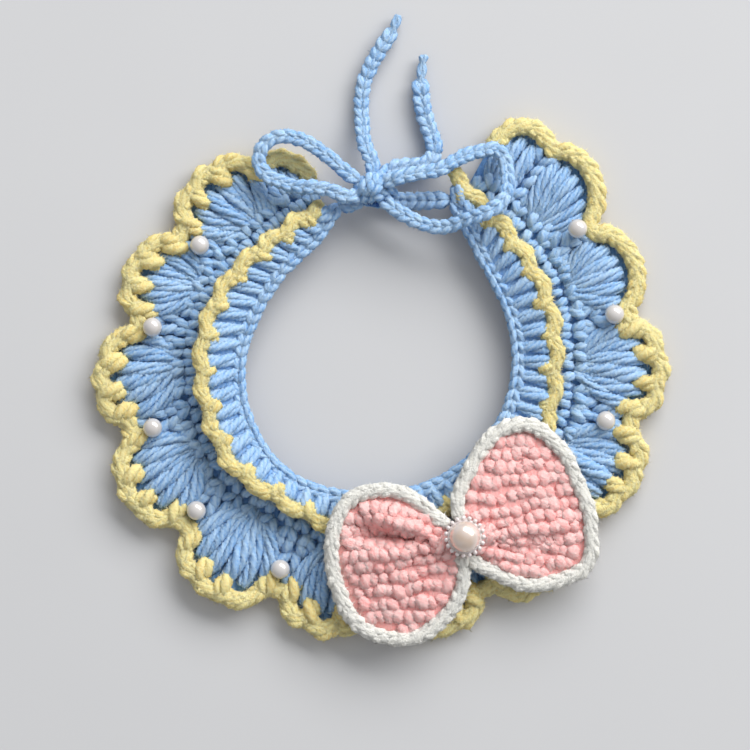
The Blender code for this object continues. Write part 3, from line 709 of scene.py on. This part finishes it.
step = (LOWER_SPAN[1] - LOWER_SPAN[0]) / POST_COUNT
lower_rows = []
for stitch in range(POST_COUNT):
    azimuth = LOWER_SPAN[0] + step * (stitch + 0.5)
    fold = fold_radius(azimuth)
    for start, end, back, spread, *size in FORK_ROWS:
        if stitch or not back:
            place = (azimuth - step * back, fold + start, fold + end)
            lower_rows += fork(*place, step * spread, *size)
for valley, _ in VALLEYS:
    inner = fold_radius(valley) + VALLEY_START
    outer = edge_radius(valley) - EDGE_MARGIN
    tiers = max(1, round((outer - inner) / VALLEY_TIER))
    for tier in range(tiers):
        near = inner + (outer - inner) * tier / tiers
        far = inner + (outer - inner) * (tier + 1.25) / tiers
        lower_rows += fork(valley, near, min(far, outer + 1.0), *VALLEY_FORK)
    for side in (-1, 1):
        azimuth = valley + side * BESIDE_VALLEY[0]
        lower_rows += fork(azimuth, inner, inner + BESIDE_VALLEY[1], *BESIDE_FORK)
rows_piece = spin("lower_layer_rows", lower_rows, blue_yarn, BLUE_FLUFF)

shells = []
corners = [LOWER_SPAN[0], *(valley for valley, _ in VALLEYS), LOWER_SPAN[1]]
shares, levels, thick = PUFF_STATIONS.T
for start, end in zip(corners, corners[1:]):
    puffs, narrowing = END_SHELL if {start, end} & set(LOWER_SPAN) else SHELL
    middle = (start + end) / 2
    fold = fold_radius(middle)
    base = min(fold + SHELL_START, (fold + edge_radius(middle)) / 2)
    for puff in range(puffs):
        azimuth = start + SHELL_GAP / 2 + (end - start - SHELL_GAP) * (puff + 0.5) / puffs
        tip = edge_radius(azimuth) - SHELL_END
        root = polar(middle + (azimuth - middle) * narrowing, base)
        point = polar(azimuth, tip)
        bend = (azimuth - middle) / (end - start) * PUFF_BEND
        knots = root + (point - root) * shares[:, None]
        aside = np.cross(unit(point - root), UP)
        knots += aside * bend * np.sin(math.pi * shares)[:, None]
        knots[:, 2] = levels + scallop_lift(azimuth) * shares
        pitch = np.radians((end - start) / puffs) * tip
        width = min(pitch, PUFF_WIDEST) * thick * dice.normal(1.0, 0.04)
        knots[1:4, 2] += dice.normal(0.0, 0.35)
        knots[1:4] += aside * dice.normal(0.0, 0.25)
        shells += bundle(knots, width, count=5, plies=3, lay=dice.uniform(26, 48))
shells_piece = spin("lower_layer_shells", shells, blue_yarn, BLUE_FLUFF)
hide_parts("lower_collar")

# --- Outer edging
# A round of pale yellow chain along the scallops. Past the first two scallops, which are plain,
# four stitches in each reach in over the blue edge.
PLAIN_UNTIL = 82.0
NUB_SHARES = (0.125, 0.375, 0.625, 0.875)
NUB_LAY = 15.0
OUTER_NUB = (
    # shares of the swing, distance in from the edging's middle, height, shares of the size
    (0.0, -0.9, 3.2, 0.85), (0.5, 1.4, 4.0, 1.1), (1.0, 4.0, 4.0, 1.15), (1.2, 6.6, 3.2, 0.95),
)
OUTER_NUB_SIZE = 5.6
OUTER_PITCH = 4.2
OUTER_WIDTH = 5.5
OUTER_LEVEL = EDGING_RADIUS * 1.15
RIPPLE = 0.8
UNEVEN = 0.18
SOFT_FILL = 0.97
SOFT_FLUFF = 1.25
# Lighter painted shade on the under sides of the soft yarns
SOFT_UNDER_PAINTED_SHADE = 0.6
# Pale yellow acrylic: hairier, so its plies blur, with a warm orange painted shade in its hollows
yellow_yarn = yarn(
    "pale_yellow_acrylic_yarn", "yellow_yarn", "EFE1A3", "E8C877", "C68C30",
    fuzz=0.85, softness=0.4, scatter=(1.3, 1.1, 0.8),
)


def ripple(azimuth):
    """Return how far the edging swings out or in between its reaching stitches."""
    share, start, _ = in_scallop(azimuth)
    turns = len(NUB_SHARES) * (share - NUB_SHARES[0])
    return -RIPPLE * math.cos(2 * math.pi * turns) * (start > PLAIN_UNTIL)


def nub(azimuth, middle, level, stations, size, swing, uneven):
    """Return the yarns of one stitch that reaches in from an edging over the blue yarn."""
    swings, depths, heights, sizes = np.array(stations).T
    turns = azimuth + dice.normal(0, swing) * swings
    depths[-1] = dice.normal(depths[-1], uneven)
    return bundle(polar(turns, middle - depths, level + heights), size * sizes, lay=NUB_LAY)


line = []
for azimuth, radius in flow(edge_outline, 1.0):
    line.append(polar(azimuth, radius + ripple(azimuth), OUTER_LEVEL + scallop_lift(azimuth)))
edging = chain(np.array(line), OUTER_PITCH, OUTER_WIDTH, unevenness=UNEVEN, fill=SOFT_FILL)
for start, _, end, _, _, _ in SPANS:
    for share in NUB_SHARES if start > PLAIN_UNTIL else ():
        azimuth = start + (end - start) * (share + dice.normal(0.0, 0.02))
        place = (azimuth, edge_radius(azimuth), scallop_lift(azimuth))
        edging += nub(*place, OUTER_NUB, dice.normal(OUTER_NUB_SIZE, 0.3), 0.5, 0.5)
outer_edging = spin_for("outer_edging", edging, yellow_yarn, SOFT_FLUFF, SOFT_UNDER_PAINTED_SHADE)

# --- Narrow upper layer
# One round of tall stitches in light blue from the neckline to the fold, which stand up a
# little on their way out. A thin web of the same yarn joins them, darkened as painted shade.
UPPER_NECK_SPAN = (27.2, 342.0)
UPPER_EDGE_SPAN = (23.4, 336.6)
SPAN_EASE = 9
EDGE_LEVEL = 6.53
NECK_RISE = 7.4
BAND_START = 2.6
BAND_STOP = 1.8
# Painted shade that darkens the upper web
UPPER_WEB_PAINTED_SHADE = -1.2
POST_STATIONS = np.array((
    # share of the way out, rise, shares of the gaps between posts at the neck and the fold
    (0.0, -0.3, 0.86, 0.0), (0.25, 0.35, 0.96, 0.0), (0.6, 0.5, 0.5, 0.5), (0.9, 0.2, 0.0, 0.96),
    (1.0, -0.3, 0.0, 0.85),
))


def edge_level(azimuth):
    """Return the height of the upper layer's outer edge."""
    return EDGE_LEVEL + read_table(UPPER_EDGE, azimuth, column=2)


def upper_point(share_round, share_out, above=0.0):
    """Return the point of the upper layer's middle at a share of the way round and out."""
    edge = UPPER_EDGE_SPAN[0] + (UPPER_EDGE_SPAN[1] - UPPER_EDGE_SPAN[0]) * share_round
    neck = edge
    for span_end, gap in ((0, share_round), (1, 1 - share_round)):
        shift = UPPER_NECK_SPAN[span_end] - UPPER_EDGE_SPAN[span_end]
        neck += shift * math.exp(-gap * SPAN_EASE)
    inner = polar(neck, read_table(NECKLINE, neck) + BAND_START, NECK_RISE)
    outer = polar(edge, fold_radius(edge) - BAND_STOP, edge_level(edge))
    return inner + (outer - inner) * share_out + np.array([0.0, 0.0, above])


grid = np.array(
    [[upper_point(a, b, -0.2) for b in np.linspace(0, 1, 6)] for a in np.linspace(0, 1, 160)]
)
upper_web = sheet_of("upper_layer_web", grid, 0.7, blue_yarn, UPPER_WEB_PAINTED_SHADE)
posts = []
for post in range(POST_COUNT):
    share = (post + 0.5) / POST_COUNT
    lean = dice.normal(0, 0.0006)
    knots = [upper_point(share + lean * (out - 0.5), out, up) for out, up, *_ in POST_STATIONS]
    gaps = [upper_point(share + 1 / POST_COUNT, end) - upper_point(share, end) for end in (0, 1)]
    width = POST_STATIONS[:, 2:] @ np.linalg.norm(gaps, axis=1)
    posts += bundle(knots, width, lay=dice.uniform(26, 44), flatness=0.6)
posts_piece = spin("upper_layer_posts", posts, blue_yarn, BLUE_FLUFF)
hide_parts("upper_collar")

# --- Upper edging
# A round of pale yellow chain along the fold, with a stitch that reaches in over the posts
# at every other one.
UPPER_WIDTH = 4.9
UPPER_PITCH = 4.0
UPPER_SWAY = 0.9
NUB_COUNT = 27
UPPER_NUB = (
    # shares of the swing, distance in from the edging's middle, height, thickness
    (0.0, -0.6, 0.0, 4.2), (0.5, 1.0, 0.5, 5.3), (1.0, 2.7, 0.5, 5.2), (1.0, 4.2, 0.0, 4.1),
)
edge_start, edge_reach = UPPER_EDGE[0][0], UPPER_EDGE[-1][0] - UPPER_EDGE[0][0]
shares = np.linspace(0, 1, 300)
azimuths = edge_start + edge_reach * shares
sway = UPPER_SWAY * np.cos(2 * math.pi * NUB_COUNT * shares)
line = polar(azimuths, fold_radius(azimuths) - 0.3 + sway, edge_level(azimuths) + 0.2)
edging = chain(line, UPPER_PITCH, UPPER_WIDTH, 0.56, UNEVEN, SOFT_FILL)
for number in range(NUB_COUNT):
    azimuth = edge_start + edge_reach * (number + 0.5) / NUB_COUNT
    edging += nub(azimuth, fold_radius(azimuth), edge_level(azimuth), UPPER_NUB, 1.0, 0.4, 0.4)
upper_edging = spin_for("upper_edging", edging, yellow_yarn, SOFT_FLUFF, SOFT_UNDER_PAINTED_SHADE)

# --- Neck chain
# The foundation chain of light blue yarn, on which both layers are worked. It lies face up,
# inside them.
NECK_CHAIN_OUT = 1.7
NECK_CHAIN_LEVEL = 6.9
NECK_CHAIN_PITCH = 3.7
NECK_CHAIN_WIDTH = 4.6
azimuths = np.linspace(NECKLINE[0][0], NECKLINE[-1][0], 300)
line = polar(azimuths, read_table(NECKLINE, azimuths) + NECK_CHAIN_OUT, NECK_CHAIN_LEVEL)
neck_chain = chain(line, NECK_CHAIN_PITCH, NECK_CHAIN_WIDTH)
spin_for("neck_chain", neck_chain, blue_yarn, BLUE_FLUFF)

# --- Pearl beads
# Eight glossy 6 mm imitation pearls, drilled across and sewn into the valleys between the
# shells with white thread that shows at both ends of the hole.
PEARL_RADIUS = 3.0
BEADS = (59.5, 82.5, 108.5, 204.0, 228.0, 250.0, 274.5, 299.0)  # azimuths
PEARL_SEGMENTS = (40, 24)
HOLE_DEPTH = 0.8
THREAD_THICKNESS = 0.5
THREAD_ROUTE = (
    # out from the pearl's middle, up
    (2.2, 0.0), (2.8, -0.1), (3.1, -0.9), (3.0, -2.1), (2.6, -3.2),
)


def pearl_lacquer(name, dark, pale, metallic, blur):
    """Return imitation pearl: a clear coat over a faintly mottled nacre-like lacquer."""
    made, shader = finish_of(
        name, pale, 0.22, Metallic=metallic, Coat_Weight=1.0, Coat_Roughness=blur, Coat_IOR=1.6
    )
    mottle(made, shader, dark, pale, scale=260.0, detail=1.0)
    return made


# Imitation pearl: milky, under a hard clear coat that gives each bead one small sharp highlight
bead_finish = pearl_lacquer("imitation_pearl_lacquer", "C4BEBA", "D9D6D4", 0.08, 0.04)
# Off-white acrylic: soft and matt, its plies blurred by fuzz, with warm grey painted shade
# in its hollows
white_yarn = yarn(
    "off_white_acrylic_yarn", "white_yarn", "EEECE4", "E6E2D7", "D2C8B0", fuzz=0.85, softness=0.4
)


def settle(name, shade, solid):
    """Fix the active object's place and turn in its mesh, give it its finish, show it for a solid.
    """
    bpy.ops.object.transform_apply(location=True, rotation=True, scale=True)
    piece = bpy.context.object
    piece.name = piece.data.name = name
    piece.data.materials.clear()
    piece.data.materials.append(shade)
    piece.data.shade_smooth()
    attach(piece, "root")
    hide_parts(solid)
    bpy.ops.object.select_all(action="DESELECT")


threads = []
hub = polar(0.0, 0.0)
for number, azimuth in enumerate(BEADS, start=1):
    low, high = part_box(f"bead_{number}")
    centre = (Vector(low) + Vector(high)) / 2
    bpy.ops.mesh.primitive_uv_sphere_add(
        segments=PEARL_SEGMENTS[0], ring_count=PEARL_SEGMENTS[1], radius=PEARL_RADIUS * MM,
        location=centre, rotation=(math.pi / 2, 0.0, math.radians(90 - azimuth)),
    )
    for corner in bpy.context.object.data.vertices:
        if abs(corner.co.z) > PEARL_RADIUS * MM * 0.999:
            corner.co.z -= math.copysign(HOLE_DEPTH * MM, corner.co.z)
    settle(f"bead_{number}_pearl", bead_finish, f"bead_{number}")
    middle = np.array(centre) / MM
    outward, tangent = (polar(azimuth + turned, 1.0) - hub for turned in (0, 90))
    for way in (-1, 1):
        knots = [middle + tangent * way * out + (0, 0, up) for out, up in THREAD_ROUTE]
        threads.append(strand(knots, THREAD_THICKNESS, up=outward, plies=3, lay=1.5))
spin("bead_threads", threads, white_yarn)

# --- Bow
# Two wings of pink yarn, each crocheted in rows that draw together at the waist, with a round
# of off-white chain along its rim. They lie on the collar and are sewn down at the waist.
BOW_REST = (10.8, 6.5)
BOW_REST_SPAN = (60.0, 94.0)
TRIM_RADIUS = 2.35
WING_WALL = 3.0
WING_DOME = 1.6
WING_STATIONS = ((0.0, 0.7), (0.35, 1.0), (0.72, 0.9), (1.0, 0.0))
LEFT_TRIM = (
    (20.2, -44.2), (16.1, -41.1), (12.4, -38.0), (8.4, -35.2), (3.4, -33.6), (-2.2, -33.6),
    (-8.1, -35.2), (-11.8, -38.9), (-14.0, -43.9), (-15.2, -50.7), (-14.9, -57.2),
    (-13.0, -64.6), (-9.9, -71.5), (-5.6, -76.1), (0.9, -78.9), (8.4, -79.5), (14.3, -77.3),
    (19.5, -72.7), (23.3, -67.7), (25.1, -62.2), (25.3, -56.8), (24.4, -52.4),
)
RIGHT_TRIM = (
    (25.0, -43.2), (23.6, -37.7), (24.8, -32.4), (27.6, -26.8), (30.1, -21.9), (33.2, -17.8),
    (37.8, -14.7), (43.7, -13.2), (48.7, -14.7), (53.0, -18.4), (56.7, -22.5), (59.5, -28.7),
    (62.3, -34.9), (64.2, -40.5), (64.8, -47.6), (64.8, -53.2), (62.6, -57.8), (57.4, -60.6),
    (51.2, -62.5), (45.3, -62.8), (39.4, -60.9), (34.4, -58.4), (30.2, -56.6), (27.2, -53.2),
)
LEFT_ROOT = (20.4, -50.0)
RIGHT_ROOT = (30.6, -48.6)
LEFT_FOLDS = (
    # angle at the root, half width, depth
    (140.0, 7.0, 0.5), (155.0, 8.0, -2.4), (173.0, 7.0, 5.4), (190.0, 7.0, -1.0),
    (208.0, 8.0, 0.8), (236.0, 8.0, 0.7),
)
RIGHT_FOLDS = (
    # angle at the root, half width, depth
    (-22.0, 4.0, 1.3), (-11.0, 3.5, 1.3), (1.0, 3.5, 1.2), (9.0, 5.0, -0.8), (32.0, 6.0, 0.9),
    (64.0, 7.0, 1.1), (94.0, 6.0, 0.7),
)
WAIST = (
    # the gathered middle of the bow, under the cabochon
    (16.5, -51.0, 13.2), (20.5, -49.6, 12.8), (25.7, -48.4, 12.6), (30.8, -47.8, 12.8),
    (34.5, -47.0, 13.2),
)
WAIST_WIDTH = (6.5, 7.0, 6.6, 7.0, 6.5)
TRIM_PITCH = 3.9
ROOT_REACH = 4.0
WING_RAYS = 12
BOW_WEB_DEPTH = 1.2
# Painted shade that darkens the bow's web
BOW_WEB_PAINTED_SHADE = -1.4
ROW_PITCH = 3.8
STITCH_PITCH = 3.0
STITCH_MARGIN = 3.0
STITCH_LEVEL = -1.3
STITCH_FLATNESS = 0.46
WAIST_DRAW = 0.75
WAIST_REACH = 13.0
STITCH = np.array((
    # along its row, across it, rise, thickness
    (-1.0, -1.7, 0.1492, 3.7), (-0.5, -0.6, 0.5429, 4.5), (0.5, 0.6, 0.5429, 4.5),
    (1.0, 1.7, 0.1492, 3.7),
))
# Pink acrylic: light goes a little way in, and the hollows between its stitches get a deep pink
# painted shade
pink_yarn = yarn(
    "pink_acrylic_yarn", "pink_yarn", "FFCECA", "FFAFAB", "EE6264",
    fuzz=0.6, softness=0.4, scatter=(1.8, 0.8, 0.8),
)


def bow_rest(points):
    """Return the height of the collar under points of the bow."""
    radii = np.linalg.norm(points[..., :2] - np.array(NECK_CENTRE), axis=-1)
    return np.interp(radii, BOW_REST_SPAN, BOW_REST)


def ray_length(trim, root, angle):
    """Return how far it is from a wing's root to its trim, at an angle in degrees."""

    def cross(a, b):
        return a[..., 0] * b[..., 1] - a[..., 1] * b[..., 0]

    way = np.array([math.cos(math.radians(angle)), math.sin(math.radians(angle))])
    side, gap = np.diff(trim, axis=0), trim[:-1] - root
    area = cross(way, side) + 1e-12
    far, share = cross(gap, side) / area, cross(gap, way) / area
    return max(0.0, *far[(share >= -0.001) & (share <= 1.001)])


def wing(name, trim, root, folds, way):
    """Make one wing: its web, its rows of stitches and its trim."""
    trim, root = (np.array(points) + ORIGIN_SHIFT[:2] for points in (trim, root))
    angles = np.arange(-180.0, 181.0, 3.0)
    lengths = np.array([ray_length(trim, root, angle) for angle in angles])

    def bearing(point):
        """Return a point's distance and angle from the root, and the trim's distance there."""
        gap = point - root
        angle = math.degrees(math.atan2(gap[1], gap[0]))
        return np.linalg.norm(gap), angle, np.interp(angle, angles, lengths)

    def height(point):
        far, angle, limit = bearing(point)
        dome = np.interp(far / max(limit - TRIM_RADIUS, 1.0), *zip(*WING_STATIONS))
        turns = [(angle - at + 180) % 360 - 180 for at, _, _ in folds]
        sink = sum(d * math.exp(-((t / h) ** 2)) for t, (_, h, d) in zip(turns, folds))
        fade = dome * min(far / ROOT_REACH, 1.0)
        return bow_rest(point) + WING_DOME * dome + WING_WALL - sink * fade

    held = [(a % 360 if way < 0 else a, l) for a, l in zip(angles, lengths) if l > ROOT_REACH]
    grid = []
    for angle, length in sorted(held):
        ahead = (math.cos(math.radians(angle)), math.sin(math.radians(angle)))
        spots = root + np.outer(np.linspace(0.05, 1.0, WING_RAYS) * (length - 1.0), ahead)
        grid.append([(*spot, height(spot) - BOW_WEB_DEPTH) for spot in spots])
    # The web is darkened as painted shade, so the gaps between the stitches look shadowed
    web = sheet_of(f"bow_{name}_web", np.array(grid), 0.7, pink_yarn, BOW_WEB_PAINTED_SHADE)
    stitches = []
    for row in range(-9, 10):
        for number in range(-5, 13):
            along = (number + 0.5 * (row % 2)) * STITCH_PITCH
            across = row * ROW_PITCH
            draw = math.exp(-((along / WAIST_REACH) ** 2) - (across / WAIST_REACH) ** 2)
            scale = (way, 1 - WAIST_DRAW * draw)
            middle = root + np.array((along, across)) * scale
            far, _, limit = bearing(middle)
            if far >= limit - STITCH_MARGIN:
                continue
            table = STITCH[:, :2] * (dice.uniform(-0.8, 0.8), 1) * dice.normal(1.0, 0.1)
            table = table + dice.normal(0, 0.25, 2) + dice.normal(0, 0.2, table.shape)
            table[:, 1] += 0.5 * math.sin(0.45 * along + 2.1 * row)
            spots = middle + table * scale
            heights = dice.normal(STITCH_LEVEL, 0.2) + STITCH[:, 2]
            heights += [height(spot) for spot in spots]
            knots = np.column_stack([spots, heights])
            size = STITCH[:, 3] * dice.normal(1, 0.09)
            lay = dice.uniform(*YARN_LAY)
            stitches.append(strand(knots, size, flatness=STITCH_FLATNESS, lay=lay))
    cloth = spin(f"bow_{name}_stitches", stitches, pink_yarn, SOFT_FLUFF)
    route = flow(trim, 1.0)
    route = np.column_stack([route, bow_rest(route) + TRIM_RADIUS])
    rim = chain(route, TRIM_PITCH, TRIM_RADIUS * 2, 0.55, UNEVEN, SOFT_FILL)
    rim = spin_for(f"bow_{name}_trim", rim, white_yarn, SOFT_FLUFF, SOFT_UNDER_PAINTED_SHADE)
    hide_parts(f"bow_{name}_wing")


wing("left", LEFT_TRIM, LEFT_ROOT, LEFT_FOLDS, -1)
wing("right", RIGHT_TRIM, RIGHT_ROOT, RIGHT_FOLDS, 1)
gathers = bundle(WAIST, WAIST_WIDTH, count=5, lay=16.0)
spin("bow_waist_yarn", gathers, pink_yarn, SOFT_FLUFF, SOFT_UNDER_PAINTED_SHADE)

# --- Cabochon
# A half-round imitation pearl glued into a moulded setting of clear plastic with a rim of
# small round beads. It covers the bow's waist.
BOW_CENTRE = (25.75, -47.77)
SETTING_LEVEL = 15.8
SETTING_HEIGHT = 2.0
SETTING_RADIUS = 5.4
SETTING_BEVEL = 0.5
RIM_LEVEL = 1.75
RIM_RADIUS = 5.75
RIM_BEADS = 19
RIM_BEAD = 0.72
CABOCHON = (4.8, 4.4)
GLUE_GAP = 0.05

# Clear polystyrene: hard, glossy and a little see-through, so each rim bead has its own spark.
# Its faint pink tint is painted light: the pink bow showing through it.
setting_finish, shader = finish_of(
    "moulded_clear_polystyrene", "F0E6E4", 0.12, Coat_Weight=0.6, Coat_Roughness=0.05,
    Transmission_Weight=0.2,
)
mottle(setting_finish, shader, "E6DAD8", "F4ECEA", scale=900.0, detail=1.0)


def above_bow(height, aside=(0, 0)):
    """Return the place at a height over the setting's underside, in metres."""
    x, y = (middle + shift for middle, shift in zip(BOW_CENTRE, aside))
    return (x * MM, y * MM, (SETTING_LEVEL + height) * MM)


bpy.ops.mesh.primitive_cylinder_add(
    vertices=64, radius=SETTING_RADIUS * MM, depth=SETTING_HEIGHT * MM,
    location=above_bow(SETTING_HEIGHT / 2),
)
base = bpy.context.object
bevel = base.modifiers.new("rim", "BEVEL")
bevel.width, bevel.segments = SETTING_BEVEL * MM, 3
bpy.ops.object.modifier_apply(modifier=bevel.name)
parts = [base]
for number in range(RIM_BEADS):
    turn = 2 * math.pi * number / RIM_BEADS
    aside = (RIM_RADIUS * math.cos(turn), RIM_RADIUS * math.sin(turn))
    bpy.ops.mesh.primitive_uv_sphere_add(
        segments=20, ring_count=12, radius=RIM_BEAD * MM, location=above_bow(RIM_LEVEL, aside)
    )
    parts.append(bpy.context.object)
for part in parts:
    part.select_set(True)
bpy.context.view_layer.objects.active = base
bpy.ops.object.join()
settle("cabochon_setting_rim", setting_finish, "cabochon_setting")

bpy.ops.mesh.primitive_uv_sphere_add(
    segments=64, ring_count=40, radius=CABOCHON[0] * MM, location=above_bow(SETTING_HEIGHT),
    scale=(1.0, 1.0, CABOCHON[1] / CABOCHON[0]),
)
bpy.ops.object.mode_set(mode="EDIT")
bpy.ops.mesh.select_all(action="SELECT")
bpy.ops.mesh.bisect(
    plane_co=above_bow(SETTING_HEIGHT + GLUE_GAP), plane_no=(0, 0, 1), clear_inner=True,
    use_fill=True,
)
bpy.ops.object.mode_set(mode="OBJECT")
# Warm imitation pearl: a cream body, warmed partly by a painted reflection of the pink bow,
# under a coat whose broad soft highlight looks like nacre
cabochon_finish = pearl_lacquer("warm_imitation_pearl_lacquer", "D4B598", "F2E7E4", 0.4, 0.27)
settle("cabochon_pearl", cabochon_finish, "cabochon")

# --- Loose fibres
# Acrylic yarn is hairy: single fibres stand out of every strand and catch the light. They are
# drawn about four times as thick as real ones, so that they show at this scale.
FIBRE_WIDTH = 0.075
FIBRE_LENGTH = (0.5, 1.5)
FIBRE_ROOT = 0.1
FIBRE_LOWEST = 0.6
FIBRES = (
    # yarn, darker and paler colour
    (blue_yarn, "99BBDD", "BFD1E3"), (yellow_yarn, "E5D592", "EFE6BF"),
    (white_yarn, "E4E2DB", "EEEEEA"), (pink_yarn, "FFB4B0", "FFD0CD"),
)
for shade, dark, pale in FIBRES:
    roots, outward, forward = np.concatenate(loose_fibres[shade.name], axis=1)
    way = outward * dice.uniform(0.25, 1.0, (len(roots), 1))
    way = unit(way + forward * dice.normal(0, 0.9, (len(roots), 1)))
    way = unit(way + dice.normal(0, 0.3, way.shape))
    keep = roots[:, 2] + way[:, 2] > FIBRE_LOWEST
    roots, way = roots[keep], way[keep]
    reach = dice.uniform(*FIBRE_LENGTH, (len(roots), 1))
    aside = unit(np.cross(way, dice.normal(0, 1, way.shape)))
    beside = np.cross(way, aside)
    corners = [
        roots - way * FIBRE_ROOT + FIBRE_WIDTH * (aside * math.cos(turn) + beside * math.sin(turn))
        for turn in (0, 2 * math.pi / 3, 4 * math.pi / 3)
    ]
    places = np.stack([*corners, roots + way * reach], axis=1).reshape(-1, 3)
    first = np.arange(len(roots))[:, None] * 4
    faces = np.concatenate([first + row for row in ((0, 1, 3), (1, 2, 3), (2, 0, 3), (2, 1, 0))])
    # Single acrylic fibre: dry and matt, a shade paler than its yarn as a painted highlight,
    # so each one catches light
    finish, shader = finish_of(f"loose_{shade.name}_fibre", dark, 0.9, Specular_IOR_Level=0.2)
    mottle(finish, shader, dark, pale, scale=700.0)
    slots[finish.name] = slots[shade.name]
    piece = add_piece(shade.name + "_fibres", places, faces.tolist(), finish)
    facing = np.repeat(outward[keep], 4, axis=0).tolist()
    piece.data.normals_split_custom_set_from_vertices(facing)
    piece.visible_shadow = False
